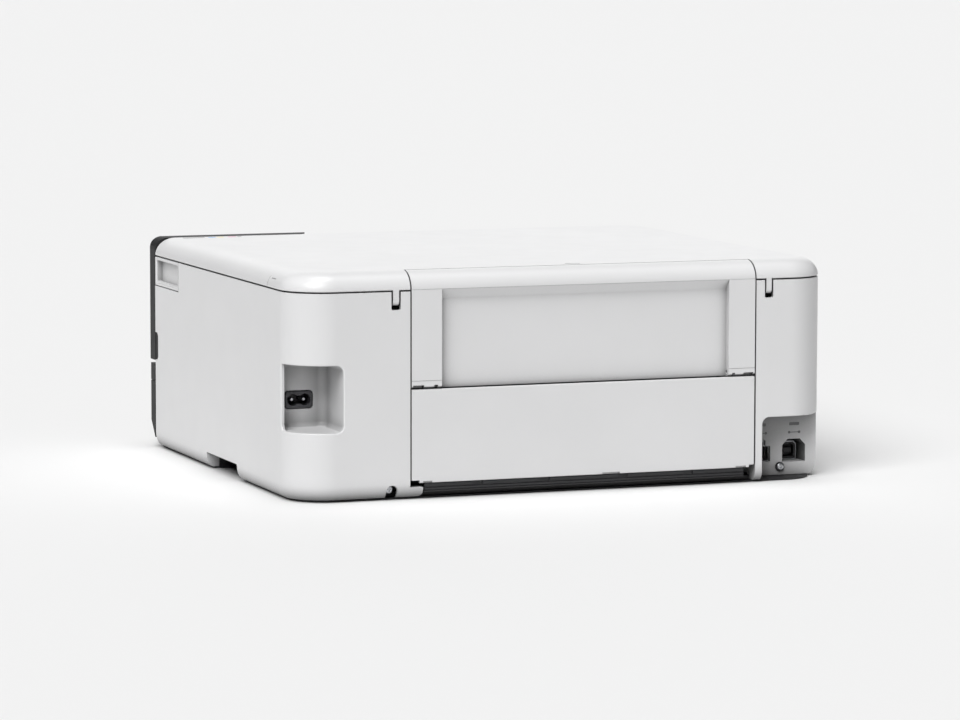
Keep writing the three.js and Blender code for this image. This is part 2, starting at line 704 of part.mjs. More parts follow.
function supportCarrier() {
  const plate = box(-108, 82, 149.4, 151.6, 30, 131.4);
  const bar = box(-122.6, 98, 149.4, 151.6, 58, 69);
  const lugs = LUGS.map(([x0, x1]) => {
    const web = outline([
      [149.4, 62],
      [151.6, 60],
      [FOLD_Y + 1.4, 70.9],
      [FOLD_Y + 1.4, FOLD_Z],
      [FOLD_Y - 1.4, 75.2],
      [149.4, 68],
    ]);
    return join(prismX(web, x0, x1), rodX(FOLD_Y, FOLD_Z, FOLD_R, x0, x1, 8));
  });
  const pins = LUGS.map(([x0, x1]) => rodX(FOLD_Y, FOLD_Z, FOLD_PIN_R, x0 - 2.6, x1 + 2.6, 8));
  const lightening = [-96, -40, 16].map((x) => box(x, x + 44, 140, 160, 80, 122));
  part("support_carrier", cut(join(plate, bar, ...lugs, ...pins), ...lightening), DARK_GREY);
}

// The cover under the paper support carries the rear half of the curved paper path.
function rearCover() {
  const skin = box(MODULE_LEFT, MODULE_RIGHT, REAR - WALL, REAR, 10.5, COVER_TOP);
  const cornerNotches = [
    box(101.6, 120, 150, 170, 0, 12.2),
    box(-140, -127.4, 150, 170, 0, 12.2),
  ];
  part("rear_cover", cut(skin, ...cornerNotches), WHITE);
  const guide = prismX(
    outline([
      [152.4, 4.6],
      [REAR - 1.2, 4.6],
      [REAR - 1.2, 10.1],
      [REAR - WALL - GAP, 10.1],
      [REAR - WALL - GAP, 56],
      [156, 56],
      [153.6, 48],
      [152.4, 30],
    ]),
    -124,
    97.8,
  );
  const bays = [];
  for (let x = -112; x < 90; x += 26) {
    bays.push(box(x, x + 18, 156, 170, 14, 50));
  }
  part("rear_paper_guide", cut(guide, ...bays), BLACK);
}

// ---------------------------------------------------------------- hinge hardware
const BRACKETS = [
  [124, 127],
  [-149, -146],
];
const SCANNER_ARMS = [
  [130, 133],
  [-155, -152],
];

// A flat plate in the YZ plane, from the hinge axis forwards and then down to bottom.
function gooseneck([x0, x1], legY0, legY1, bottom) {
  return join(
    rodX(HINGE_Y, HINGE_Z, HINGE_R, x0, x1, 8),
    box(x0, x1, legY0, HINGE_Y, HINGE_Z - 2, HINGE_Z + 1.4),
    box(x0, x1, legY0, legY1, bottom, HINGE_Z + 1.4),
  );
}

function hingeHardware() {
  const hole = rodX(HINGE_Y, HINGE_Z, HINGE_HOLE_R, -FAR, FAR, 6);
  ["right", "left"].forEach((side, i) => {
    const [x0, x1] = BRACKETS[i];
    const flangeX = side === "right" ? [x0, x0 + 14] : [x1 - 14, x1];
    const flange = box(flangeX[0], flangeX[1], 138.8, 141, 92, 108);
    part(`hinge_bracket_${side}`, cut(join(gooseneck([x0, x1], 138.8, 142.4, 92), flange), hole), STEEL);
  });
  part("hinge_pin_right", rodX(HINGE_Y, HINGE_Z, HINGE_PIN_R, 110.8, 139.4, 8), STEEL);
  part("hinge_pin_left", rodX(HINGE_Y, HINGE_Z, HINGE_PIN_R, -161.4, -134.4, 8), STEEL);
}

// ---------------------------------------------------------------- scanner unit
const SCANNER = { side: 181.9, y0: -145.4, y1: 136, z0: 112, split: 126.4, z1: 132.9 };
const GLASS = { x0: -156, x1: 156, y0: -112, y1: 112, z0: 129.9, z1: 132.5 };

// The finger recess in one side of the scanner unit.
function gripRecess(side) {
  const deep = 13;
  const mouth = roundedRect(GRIP.y0 + 2.6, GRIP.y1 - 2.6, GRIP.z0 + 1.8, GRIP.z1, [3, 3, 3, 3]);
  const x0 = side < 0 ? -SIDE - 2 : SIDE - deep;
  return prismX(mouth, x0, x0 + deep + 2, 3);
}

function scannerUnit() {
  const { side, y0, y1, z0, split, z1 } = SCANNER;
  const plan = bodyPrism(SIDE - side, 0, HEIGHT);
  const tub = cut(
    box(-side, side, y0, y1, z0, split).intersect(plan),
    box(-side + 16, side - 16, y0 + 14, y1 - 10, z0 + WALL, 140),
  );
  const grips = [-1, 1].map((s) => {
    const x0 = s < 0 ? -SIDE : 166;
    return box(x0, x0 + SIDE - 166, GRIP.y0, GRIP.y1, GRIP.z0, SHELL_TOP);
  });
  const arms = SCANNER_ARMS.map((span) => gooseneck(span, 132.4, 135.9, z0 + 4));
  const hole = rodX(HINGE_Y, HINGE_Z, HINGE_HOLE_R, -FAR, FAR, 6);
  const housing = cut(join(tub, ...grips, ...arms), gripRecess(-1), gripRecess(1), hole);
  part("scanner_housing", housing, WHITE);

  const glassBox = (grow, low, high) =>
    box(GLASS.x0 - grow, GLASS.x1 + grow, GLASS.y0 - grow, GLASS.y1 + grow, low, high);
  const frameTop = cut(
    box(-side, side, y0, y1, split + GAP, z1).intersect(plan),
    glassBox(-5, 120, 140),
    glassBox(GAP, GLASS.z0 - GAP, 140),
    ...[-1, 1].map((s) => {
      const x0 = s < 0 ? -FAR : 165.6;
      return box(x0, x0 + 34.4, GRIP.y0 - GAP, GRIP.y1 + GAP, 120, 140);
    }),
    ...SCANNER_ARMS.map(([x0, x1]) => box(x0 - GAP, x1 + GAP, 132, 140, 120, 140)),
  );
  part("scanner_top_frame", frameTop, WHITE);
  part("scanner_glass", glassBox(0, GLASS.z0, GLASS.z1), CLEAR);

  const railY = -4;
  const railZ = 117.2;
  part("scan_rail", rodX(railY, railZ, 2, -side + 17, side - 17, 10), STEEL);
  const bar = cut(
    box(-160, -142, y0 + 18, y1 - 14, 119.8, 126),
    box(-156, -146, y0 + 22, y1 - 18, 123.4, 140),
  );
  const slider = cut(
    box(-160, -142, railY - 6, railY + 6, 115, 120.2),
    rodX(railY, railZ, 2.4, -170, -130, 10),
  );
  part("scan_bar", join(bar, slider), BLACK);
}

// ---------------------------------------------------------------- print mechanism
const RAIL = { y: 40, z: 80, r: 4 };
const CARRIAGE = { x0: 92, x1: 168, y0: -16, y1: 52, z0: 70, z1: 106 };
const FEED = { y: 48, z: 58, r: 5, shaftR: 3 };
const EJECT = { y: -32, z: 60, r: 4, shaftR: 2 };

function printMechanism() {
  const wall = cut(
    box(-181.5, 181.5, 60, 62, 44, 108),
    box(-114, 114, 50, 70, 44, 66.6),
    box(-172, 172, 50, 70, 84.6, 96),
  );
  const bearing = box(119, 120.6, -38, 62, 46, 64.6);
  const shaftHoles = join(
    rodX(FEED.y, FEED.z, FEED.shaftR + GAP, -FAR, FAR, 8),
    rodX(EJECT.y, EJECT.z, EJECT.shaftR + GAP, -FAR, FAR, 8),
  );
  const cheeks = [-1, 1].map((s) => {
    const x0 = s < 0 ? -181.5 : 179.5;
    return cut(box(x0, x0 + 2, -38, 62, 44, 108), rodX(RAIL.y, RAIL.z, RAIL.r + GAP, -FAR, FAR, 10));
  });
  part("print_frame", cut(join(wall, ...cheeks, bearing), shaftHoles), STEEL);
  part("carriage_rail", rodX(RAIL.y, RAIL.z, RAIL.r, -182, 182, 12), STEEL);
  const ribs = [];
  for (let x = -110; x <= 110; x += 20) {
    ribs.push(box(x - 0.8, x + 0.8, -18, 36, 63.5, 65.6));
  }
  part("platen", join(box(-116, 118, -20, 40, 59.6, 64), ...ribs), BLACK);
  const well = box(128, 162, -8, 30, 58, 70);
  const wiper = box(123, 124.4, -6, 28, 50, 66.4);
  part("purge_unit", join(cut(box(121, 174, -18, 38, 44, 64), well), wiper), DARK_GREY);
}

// The belt is a flat loop with round ends, around two pulleys whose axes run along Y.
function carriageDrive() {
  const y0 = 66;
  const y1 = 72;
  const z = 90.3;
  const ends = 168;
  const stadium = (r, from, to) =>
    join(
      rodY(-ends, z, r, from, to, 12),
      box(-ends, ends, from, to, z - r, z + r),
      rodY(ends, z, r, from, to, 12),
    );
  part("carriage_belt", cut(stadium(5.4, y0, y1), stadium(4.4, y0 - 1, y1 + 1)), RUBBER);
  part("belt_pulley", rodY(ends, z, 3.9, 64, 74, 12), BRASS);
  const motor = join(rodY(-ends, z, 12, 76, 104, 16), rodY(-ends, z, 3.9, 64, 76.4, 12));
  part("carriage_motor", motor, STEEL);
}

function carriage() {
  const { x0, x1, y0, y1, z0, z1 } = CARRIAGE;
  const shell = cut(
    box(x0, x1, y0, y1, z0, z1),
    box(x0 + 2, x1 - 2, y0 + 2, 30, z0 + 4, 120),
    box(x0 - 1, x1 + 1, 32, 60, 88, 120),
    rodX(RAIL.y, RAIL.z, RAIL.r + GAP, 60, 190, 12),
  );
  const beltClip = box(x0 + 24, x1 - 24, 50, 65.4, 86, 87.8);
  part("ink_carriage", join(shell, beltClip), BLACK);
  part("print_head", box(x0 + 10, x1 - 10, y0 + 8, 24, z0 - 2.6, z0 - GAP), STEEL);
  const inner = x1 - x0 - 4;
  const wide = 18;
  const narrow = (inner - wide) / 4;
  Object.entries(INKS).forEach(([name, color], i) => {
    const start = x0 + 2 + (i ? wide + (i - 1) * narrow : 0);
    const width = i ? narrow : wide;
    const tank = join(
      box(start + GAP, start + width - GAP, y0 + 2.4, 29.6, z0 + 4.4, 100),
      box(start + 2, start + width - 2, y0 + 2.4, y0 + 8, 99, 105),
    );
    part(`ink_tank_${name}`, tank, [color, 0.4, 0]);
  });
}

// ---------------------------------------------------------------- paper rollers
function feedRollers() {
  const ends = [-182.2, 120.4];
  const sleeves = [];
  for (let x = -106; x <= 78; x += 46) {
    sleeves.push(rodX(FEED.y, FEED.z, FEED.r, x, x + 30, 8));
  }
  const codeWheel = rodX(FEED.y, FEED.z, 11, -176, -174.4, 16);
  part("feed_roller", join(rodX(FEED.y, FEED.z, FEED.shaftR, ...ends, 8), ...sleeves, codeWheel), STEEL);
  const wheels = [];
  for (let x = -96; x <= 90; x += 46) {
    wheels.push(rodX(EJECT.y, EJECT.z, EJECT.r, x, x + 8, 8));
  }
  part("eject_roller", join(rodX(EJECT.y, EJECT.z, EJECT.shaftR, ...ends, 8), ...wheels), RUBBER);
  const motor = join(box(-168, -140, 76, 100, 40, 66), rodX(88, 53, 3, -174, -168, 10));
  part("feed_motor", motor, STEEL);
}

function rearFeedGuide() {
  const slope = prismX(
    outline([
      [96, 66],
      [98.4, 66],
      [134, 106],
      [134, 109],
      [131.6, 109],
      [96, 69],
    ]),
    -118,
    118,
  );
  const backWall = box(-126, 102, 145.4, 147.6, 50, 131);
  const ends = [-1, 1].map((s) => {
    const x0 = s < 0 ? -120 : 96;
    return box(x0, x0 + 2, 100, 147, 50, 108);
  });
  part("rear_feed_guide", join(slope, backWall, ...ends), BLACK);
}

documentCover();
rightSideCover();
leftSideCover();
baseChassis();
screws();
powerInlet();
socketsAndBoards();
frontFrame();
controlPanel();
outputTray();
cassette();
paperSupport();
supportCarrier();
rearCover();
hingeHardware();
scannerUnit();
printMechanism();
carriageDrive();
carriage();
feedRollers();
rearFeedGuide();

export default printer;
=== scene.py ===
import json
import math

import bmesh
import bpy
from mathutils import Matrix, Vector


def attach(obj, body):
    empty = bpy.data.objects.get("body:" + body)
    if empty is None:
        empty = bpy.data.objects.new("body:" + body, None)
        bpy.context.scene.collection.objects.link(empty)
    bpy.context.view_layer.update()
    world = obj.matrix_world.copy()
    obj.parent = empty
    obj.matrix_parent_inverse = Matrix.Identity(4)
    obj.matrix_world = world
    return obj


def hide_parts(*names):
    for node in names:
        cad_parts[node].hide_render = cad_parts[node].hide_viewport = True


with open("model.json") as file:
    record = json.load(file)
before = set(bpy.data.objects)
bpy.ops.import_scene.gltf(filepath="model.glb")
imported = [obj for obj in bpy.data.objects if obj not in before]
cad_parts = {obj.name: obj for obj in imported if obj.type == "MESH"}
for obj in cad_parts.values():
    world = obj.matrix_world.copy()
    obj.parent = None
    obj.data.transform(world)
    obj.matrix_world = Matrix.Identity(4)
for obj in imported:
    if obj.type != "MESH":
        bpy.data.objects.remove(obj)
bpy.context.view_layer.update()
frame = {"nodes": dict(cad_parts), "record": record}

# ---- dimensions, in millimetres
# The front faces -Y, the rear +Y, and +X is the right-hand side seen from the front.
MM = 0.001
WIDTH = 372
DEPTH = 324
HEIGHT = 146
SIDE = WIDTH / 2
REAR = DEPTH / 2
FRONT = -DEPTH / 2
CORNER_R = 29
FRONT_RIGHT_R = 15.5
CORNER_STEPS = 28
WALL = 2.5
SHELL_BOTTOM = 1.5
SHELL_TOP = 133.2
SHELL_FRONT = -146.9
LID_BOTTOM = 134.2
BEZEL_BACK = -147.2
UNDER_ACROSS = 5
UNDER_RISE = 9.5

MODULE_RIGHT = 106.8
MODULE_LEFT = -130.8
COLUMN_RIGHT = 107.8
COLUMN_LEFT = -131.8
MODULE_FRONT = 149
MODULE_BOTTOM = 70.9
COVER_TOP = 70.4

HINGE_Y = 154
HINGE_Z = 139
FAR = 260  # further out than any part reaches


# ---- outlines and solids
def arc(centre_a, centre_b, radius, start, end, steps):
    """Points on an arc, in degrees, both ends included."""
    points = []
    for i in range(steps + 1):
        angle = math.radians(start + (end - start) * i / steps)
        points.append((centre_a + radius * math.cos(angle), centre_b + radius * math.sin(angle)))
    return points


def quarter(steps):
    """How far across and up a quarter round has gone, as shares of its radius, at evenly spaced angles."""
    angles = [math.radians(90 * i / steps) for i in range(steps + 1)]
    return [(1 - math.cos(angle), math.sin(angle)) for angle in angles]


def rounded_rect(a0, a1, b0, b1, radii, grow=0.0, steps=8):
    """A rectangle; its corner radii run low-low, high-low, high-high, low-high, and 0 stays sharp."""
    a0, a1, b0, b1 = a0 - grow, a1 + grow, b0 - grow, b1 + grow
    corners = ((a0, b0, 180), (a1, b0, 270), (a1, b1, 0), (a0, b1, 90))
    points = []
    for (a, b, start), radius in zip(corners, radii):
        if radius == 0:
            points.append((a, b))
            continue
        r = max(radius + grow, 0.05)
        centre_a = a + r if a == a0 else a - r
        centre_b = b + r if b == b0 else b - r
        points += arc(centre_a, centre_b, r, start, start + 90, steps)
    return points


def circle(a, b, radius, steps=32):
    return arc(a, b, radius, 0, 360, steps)[:-1]


def ring(outline, axis, level):
    """Places an outline in space: axis X takes (y, z), axis Y takes (x, z) and axis Z takes (x, y)."""
    if axis == "X":
        return [(level, a, b) for a, b in outline]
    if axis == "Y":
        return [(a, level, b) for a, b in outline]
    return [(a, b, level) for a, b in outline]


def place(name, data):
    """Puts a new object that holds this data into the scene."""
    made = bpy.data.objects.new(name, data)
    bpy.context.scene.collection.objects.link(made)
    return made


def loft(rings):
    """A closed solid through rings that all have the same number of points."""
    mesh = bmesh.new()
    rows = [[mesh.verts.new(Vector(point) * MM) for point in points] for points in rings]
    count = len(rows[0])
    for low, high in zip(rows, rows[1:]):
        for i in range(count):
            j = (i + 1) % count
            mesh.faces.new((low[i], low[j], high[j], high[i]))
    mesh.faces.new(rows[0][::-1])
    mesh.faces.new(rows[-1])
    bmesh.ops.recalc_face_normals(mesh, faces=mesh.faces)
    data = bpy.data.meshes.new("solid")
    mesh.to_mesh(data)
    mesh.free()
    return place("solid", data)


def prism(axis, outline, low, high):
    return loft([ring(outline, axis, low), ring(outline, axis, high)])


def box(x0, x1, y0, y1, z0, z1):
    return prism("Z", [(x0, y0), (x1, y0), (x1, y1), (x0, y1)], z0, z1)


def rod(axis, a, b, radius, low, high, round_by=0.0, steps=32):
    """A cylinder whose two ends are rounded by round_by."""
    if not round_by:
        return prism(axis, circle(a, b, radius, steps), low, high)
    rings = [(radius - round_by + round_by * up, low + round_by * across) for across, up in quarter(4)]
    rings += [(r, low + high - level) for r, level in rings[::-1]]
    return loft([ring(circle(a, b, r, steps), axis, level) for r, level in rings])


def rounded_box(x0, x1, y0, y1, z0, z1, radius, axis="Z", edge=0.4):
    """A block with corners of that radius round the axis and softened end edges."""
    spans = {"X": (y0, y1, z0, z1, x0, x1), "Y": (x0, x1, z0, z1, y0, y1), "Z": (x0, x1, y0, y1, z0, z1)}
    a0, a1, b0, b1, low, high = spans[axis]
    rings = [(edge * up - edge, low + edge * across) for across, up in quarter(3)]
    rings += [(grow, low + high - level) for grow, level in rings[::-1]]
    shape = [max(radius, edge + 0.05)] * 4
    return loft([ring(rounded_rect(a0, a1, b0, b1, shape, grow), axis, level) for grow, level in rings])


def flare(axis, a0, a1, b0, b1, radii, mouth, inner, rim=0.8):
    """A cutter with a rounded rim: it enters at level mouth and goes straight on to level inner."""
    way = 1 if inner > mouth else -1
    rings = [(rim, mouth - way * 2)]
    rings += [(rim * (1 - up), mouth + way * rim * across) for across, up in quarter(5)]
    rings.append((0.0, inner))
    return loft([ring(rounded_rect(a0, a1, b0, b1, radii, grow), axis, level) for grow, level in rings])


def combine(body, operation, others):
    """Joins the others to body, cuts them out of it, or keeps what they share, and removes them."""
    for other in others:
        modifier = body.modifiers.new("combine", "BOOLEAN")
        modifier.operation = operation
        modifier.object = other
        modifier.solver = "MANIFOLD"
    graph = bpy.context.evaluated_depsgraph_get()
    mesh = bpy.data.meshes.new_from_object(body.evaluated_get(graph))
    body.modifiers.clear()
    body.data = mesh
    for other in others:
        bpy.data.objects.remove(other)
    return body


def cut(body, *others):
    return combine(body, "DIFFERENCE", others)


def join(body, *others):
    return combine(body, "UNION", others)


def common(body, *others):
    return combine(body, "INTERSECT", others)


# ---- materials
def new_material(name, colour, roughness, metallic=0.0):
    made = bpy.data.materials.new(name)
    made.use_nodes = True
    shader = made.node_tree.nodes["Principled BSDF"]
    shader.inputs["Base Color"].default_value = (*colour, 1)
    shader.inputs["Roughness"].default_value = roughness
    shader.inputs["Metallic"].default_value = metallic
    return made, made.node_tree, shader


def add_node(tree, kind, inputs, **settings):
    """A new shader node. An input given as another node's output is linked, and any other is set."""
    made = tree.nodes.new(f"ShaderNode{kind}")
    for name, value in settings.items():
        setattr(made, name, value)
    for key, value in inputs.items():
        if isinstance(value, bpy.types.NodeSocket):
            tree.links.new(value, made.inputs[key])
        else:
            made.inputs[key].default_value = value
    return made


def object_place(tree):
    return add_node(tree, "TexCoord", {}).outputs["Object"]


def z_part(tree, direction):
    """The Z part of a direction or a place."""
    return add_node(tree, "SeparateXYZ", {"Vector": direction}).outputs["Z"]


def noise(tree, scale, detail=2.0, stretch=(1, 1, 1)):
    """A noise field in object space; scale counts features per metre."""
    mapping = add_node(tree, "Mapping", {"Vector": object_place(tree), "Scale": stretch})
    field = {"Vector": mapping.outputs["Vector"], "Scale": scale, "Detail": detail}
    return add_node(tree, "TexNoise", field).outputs["Fac"]


def spread(tree, field, low, high, start=0.3, end=0.7):
    """Maps the middle of a noise field onto the range from low to high."""
    levels = {"Value": field, "From Min": start, "From Max": end, "To Min": low, "To Max": high}
    return add_node(tree, "MapRange", levels).outputs["Result"]


def blend_colours(tree, field, first, second):
    return add_node(tree, "Mix", {0: field, 6: (*first, 1), 7: (*second, 1)}, data_type="RGBA").outputs[2]


def paint(tree, shader, field, first, second):
    tree.links.new(blend_colours(tree, field, first, second), shader.inputs["Base Color"])


def vary_gloss(tree, shader, field, low, high):
    tree.links.new(spread(tree, field, low, high), shader.inputs["Roughness"])


def bump(tree, shader, field, strength, distance):
    made = add_node(tree, "Bump", {"Height": field, "Strength": strength, "Distance": distance})
    tree.links.new(made.outputs["Normal"], shader.inputs["Normal"])


def tinted(colour, share):
    return tuple(min(1.0, c * share) for c in colour)


def open_share(tree, reach, own, low, deep, clear):
    """A factor, used for painted shade, that runs from low, where a surface is hemmed in, up to 1, where it
    is in the open.

    deep and clear are the open shares at which the factor reaches low and 1. With own, only the piece itself
    counts as an obstacle.
    """
    hollow = add_node(tree, "AmbientOcclusion", {"Distance": reach}, only_local=own, samples=8)
    return spread(tree, hollow.outputs["AO"], low, 1, deep, clear)


def darker(tree, shades, factor):
    """Paints shade: scales the shades by the factor, except on faces that look up, which stay as lit from
    above.
    """
    normal = add_node(tree, "NewGeometry", {}).outputs["Normal"]
    lit_from_above = spread(tree, z_part(tree, normal), 0, 1, 0.3, 0.9)
    lit = add_node(tree, "Math", {0: factor, 1: lit_from_above}, operation="MAXIMUM")
    return add_node(tree, "VectorMath", {0: shades, "Scale": lit.outputs[0]}, operation="SCALE").outputs[0]


SEAM_SHADE_REACH = 0.016  # metres within which a neighbour paints shade onto a seam
# metres within which a piece's own walls paint shade into its hollows
HOLLOW_SHADE_REACH = 0.06


def moulded(
    name, colour, roughness, grain=2400, depth=0.00002, mottle=0.015, swing=0.03, seam_shade=1, hollows=None
):
    """Injection-moulded plastic: fine spark grain, slow colour drift, uneven gloss, and painted shade where
    parts meet and in hollows.
    """
    made, tree, shader = new_material(name, colour, roughness)
    drift = spread(tree, noise(tree, 16, 3), 0, 1)
    shades = blend_colours(tree, drift, tinted(colour, 1 - mottle), tinted(colour, 1 + mottle))
    # painted shade near neighbouring parts and the floor, except on faces that look up
    if seam_shade < 1:
        shades = darker(tree, shades, open_share(tree, SEAM_SHADE_REACH, False, seam_shade, 0.25, 0.9))
    # painted shade in the piece's own hollows, except on faces that look up
    if hollows:
        shades = darker(tree, shades, open_share(tree, HOLLOW_SHADE_REACH, True, *hollows))
    tree.links.new(shades, shader.inputs["Base Color"])
    vary_gloss(tree, shader, noise(tree, 60, 4), roughness - swing, roughness + swing)
    bump(tree, shader, noise(tree, grain, 4), 0.5, depth)
    shader.inputs["IOR"].default_value = 1.55
    return made


def metal(name, colour, roughness, stretch=(40, 1, 1), depth=0.00002):
    """Rolled or ground metal, with fine lines along one direction and a few duller patches."""
    made, tree, shader = new_material(name, colour, roughness, 1.0)
    lines = noise(tree, 320, 5, stretch)
    patches = spread(tree, noise(tree, 35, 3), 0, 1)
    paint(tree, shader, patches, tinted(colour, 0.9), tinted(colour, 1.06))
    vary_gloss(tree, shader, lines, roughness - 0.08, roughness + 0.1)
    bump(tree, shader, lines, 0.4, depth)
    return made


def clear_glass(name):
    made, tree, shader = new_material(name, (0.93, 0.97, 0.95), 0.03)
    shader.inputs["Transmission Weight"].default_value = 1.0
    shader.inputs["IOR"].default_value = 1.5
    vary_gloss(tree, shader, noise(tree, 25, 3), 0.01, 0.05)
    bump(tree, shader, noise(tree, 12, 1), 0.05, 0.00005)
    return made


def ink_tank(name, colour):
    """A translucent tank: coloured ink shows through its wall, darker towards the bottom."""
    made, tree, shader = new_material(name, colour, 0.25)
    level = spread(tree, z_part(tree, object_place(tree)), 0, 1, 0.078, 0.104)
    paint(tree, shader, level, tinted(colour, 0.8), tinted(colour, 1.5))
    shader.inputs["Coat Weight"].default_value = 0.4
    shader.inputs["Subsurface Weight"].default_value = 0.1
    shader.inputs["Subsurface Radius"].default_value = (0.002, 0.002, 0.002)
    bump(tree, shader, noise(tree, 900, 3), 0.3, 0.00003)
    return made


def circuit_board(name):
    """Green solder mask with paler copper tracks and pads under it."""
    made, tree, shader = new_material(name, (0.03, 0.16, 0.08), 0.35)
    pattern = {"Vector": object_place(tree), "Scale": 90, "Mortar Size": 0.03}
    pattern |= {"Color1": (0.025, 0.14, 0.07, 1), "Color2": (0.03, 0.17, 0.085, 1)}
    pattern["Mortar"] = (0.09, 0.3, 0.16, 1)
    tracks = add_node(tree, "TexBrick", pattern)
    tree.links.new(tracks.outputs["Color"], shader.inputs["Base Color"])
    bump(tree, shader, tracks.outputs["Fac"], 0.3, 0.00005)
    return made


def felt(name, colour):
    """Soft white felt and foam, with a short uneven pile."""
    made, tree, shader = new_material(name, colour, 0.9)
    fibres = noise(tree, 1500, 6)
    paint(tree, shader, spread(tree, fibres, 0, 1), tinted(colour, 0.93), tinted(colour, 1.03))
    bump(tree, shader, fibres, 0.8, 0.00015)
    shader.inputs["Sheen Weight"].default_value = 0.3
    return made


def screen_face(name):
    """A dark touch screen: black glass over a faintly lighter panel."""
    made, tree, shader = new_material(name, (0.01, 0.012, 0.016), 0.08)
    pixels = spread(tree, noise(tree, 3000, 2), 0, 1)
    paint(tree, shader, pixels, (0.008, 0.01, 0.014), (0.014, 0.017, 0.022))
    vary_gloss(tree, shader, noise(tree, 40, 4), 0.05, 0.12)
    shader.inputs["Coat Weight"].default_value = 1.0
    shader.inputs["Coat Roughness"].default_value = 0.02
    return made


WHITE = (0.72, 0.72, 0.725)
MATERIALS = {
    # All three white plastics carry painted shade near neighbouring parts; the inlet and port copies also
    # carry painted shade in the mains inlet's pocket and in the port recess.
    "white_shell": moulded("white_plastic", WHITE, 0.36, seam_shade=0.3),
    "white_shaded_inlet": moulded("white_plastic_shaded_in_inlet_pocket", WHITE, 0.36, seam_shade=0.3, hollows=(0.78, 0.45, 0.9)),
    "white_shaded_ports": moulded("white_plastic_shaded_in_port_recess", WHITE, 0.36, seam_shade=0.3, hollows=(0.42, 0.7, 0.98)),
    "black_front": moulded("black_plastic", (0.009, 0.0093, 0.01), 0.6, depth=0.00001),
    "dark_inner": moulded("dark_plastic", (0.02, 0.02, 0.022), 0.5, grain=1600, depth=0.00003, mottle=0.08),
    "grey_inner": moulded("grey_plastic", (0.16, 0.16, 0.17), 0.48, grain=1600, depth=0.00003, mottle=0.05),
    "steel": metal("plated_steel", (0.6, 0.61, 0.63), 0.32),
    "brass": metal("plated_brass", (0.8, 0.66, 0.42), 0.25),
    "rubber": moulded("black_rubber", (0.02, 0.02, 0.02), 0.82, grain=1200, depth=0.00006, mottle=0.1),
    "glass": clear_glass("float_glass"),
    "screen": screen_face("screen_glass"),
    "white_foam": felt("white_felt", (0.82, 0.82, 0.8)),
    "board": circuit_board("solder_mask"),
    "ink_black": ink_tank("tank_black", (0.02, 0.02, 0.022)),
    "ink_grey": ink_tank("tank_grey", (0.22, 0.22, 0.23)),
    "ink_cyan": ink_tank("tank_cyan", (0.015, 0.27, 0.5)),
    "ink_magenta": ink_tank("tank_magenta", (0.45, 0.025, 0.17)),
    "ink_yellow": ink_tank("tank_yellow", (0.7, 0.54, 0.02)),
}
LABELS = {
    "label_grey": (0.16, 0.16, 0.165),
    "label_blue": (0.08, 0.36, 0.75),
    "label_yellow": (0.85, 0.68, 0.12),
    "label_pink": (0.75, 0.2, 0.42),
}
for label, colour in LABELS.items():
    MATERIALS[label] = moulded(label, colour, 0.45, mottle=0.04)
MATERIALS["mark_grey"] = moulded("mark_grey", (0.12, 0.12, 0.125), 0.5, mottle=0.04)
MATERIALS["inlet_grey"] = moulded("inlet_grey", (0.045, 0.045, 0.05), 0.4, mottle=0.05)


# ---- finishing
def soften(thing, width, angle=38):
    """Small rounded edges, smooth faces and area-weighted normals."""
    if width:
        edges = thing.modifiers.new("edges", "BEVEL")
        edges.width = width * MM
        edges.segments = 2
        edges.limit_method = "ANGLE"
        edges.angle_limit = math.radians(angle)
        edges.harden_normals = False
    normals = thing.modifiers.new("normals", "WEIGHTED_NORMAL")
    normals.keep_sharp = True
    normals.weight = 60


def smooth(mesh, angle=38):
    mesh.shade_smooth()
    mesh.set_sharp_from_angle(angle=math.radians(angle))


def finish(thing, name, body, slot, nodes=(), edge=0.0, look=None):
    """Names a piece, gives it material and edges, and lets it ride on its body for the CAD nodes."""
    thing.name = name
    thing.data.name = name
    thing.data.materials.clear()
    thing.data.materials.append(MATERIALS[look or slot])
    smooth(thing.data)
    soften(thing, edge)
    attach(thing, body)
    if nodes:
        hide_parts(*nodes)


# ---- the body's own form
def body_plan(inset, front_right=FRONT_RIGHT_R):
    radius = CORNER_R - inset
    small = max(front_right - inset, 0.3)
    points = []
    points += arc(-SIDE + CORNER_R, FRONT + CORNER_R, radius, 180, 270, CORNER_STEPS)
    corner = max(front_right, inset + small)
    points += arc(SIDE - corner, FRONT + corner, small, 270, 360, CORNER_STEPS)
    points += arc(SIDE - CORNER_R, REAR - CORNER_R, radius, 0, 90, CORNER_STEPS)
    points += arc(-SIDE + CORNER_R, REAR - CORNER_R, radius, 90, 180, CORNER_STEPS)
    return points


def body_stack(levels, front_right=FRONT_RIGHT_R):
    """The body's plan at each (inset, height)."""
    return loft([ring(body_plan(inset, front_right), "Z", z) for inset, z in levels])


def under_round(inset):
    """The shells' lower edge, rounded under, as (inset, height) levels."""
    shares = quarter(12)
    return [(inset + UNDER_ACROSS * (1 - up), SHELL_BOTTOM + UNDER_RISE * across) for across, up in shares]


def body_form(inset, top):
    return body_stack(under_round(inset) + [(inset, top)])


# ---- lid
LID_RISE = 12
LID_ROUND = 14
LID_SKIN = 2.2
LID_CUT_R = 8.9
BEZEL_TIP_X = 72.5
BEZEL_STEP_X = 80
LID_STEP_Y = -146.2
TABS = ((115.3, 119.3), (-142.5, -138.8))
TAB_BOTTOM = 124.3
PIN_HOLE_R = 1.35
PIN_HOLES = ((109, 140), (-162.5, -133))
EARS = ((110.6, 113.2), (136, 138.6), (-136.8, -134.2), (-161, -158.4))
LID_SPLIT_Y = 108.8  # where the lid's rear part begins, a little proud of its front part


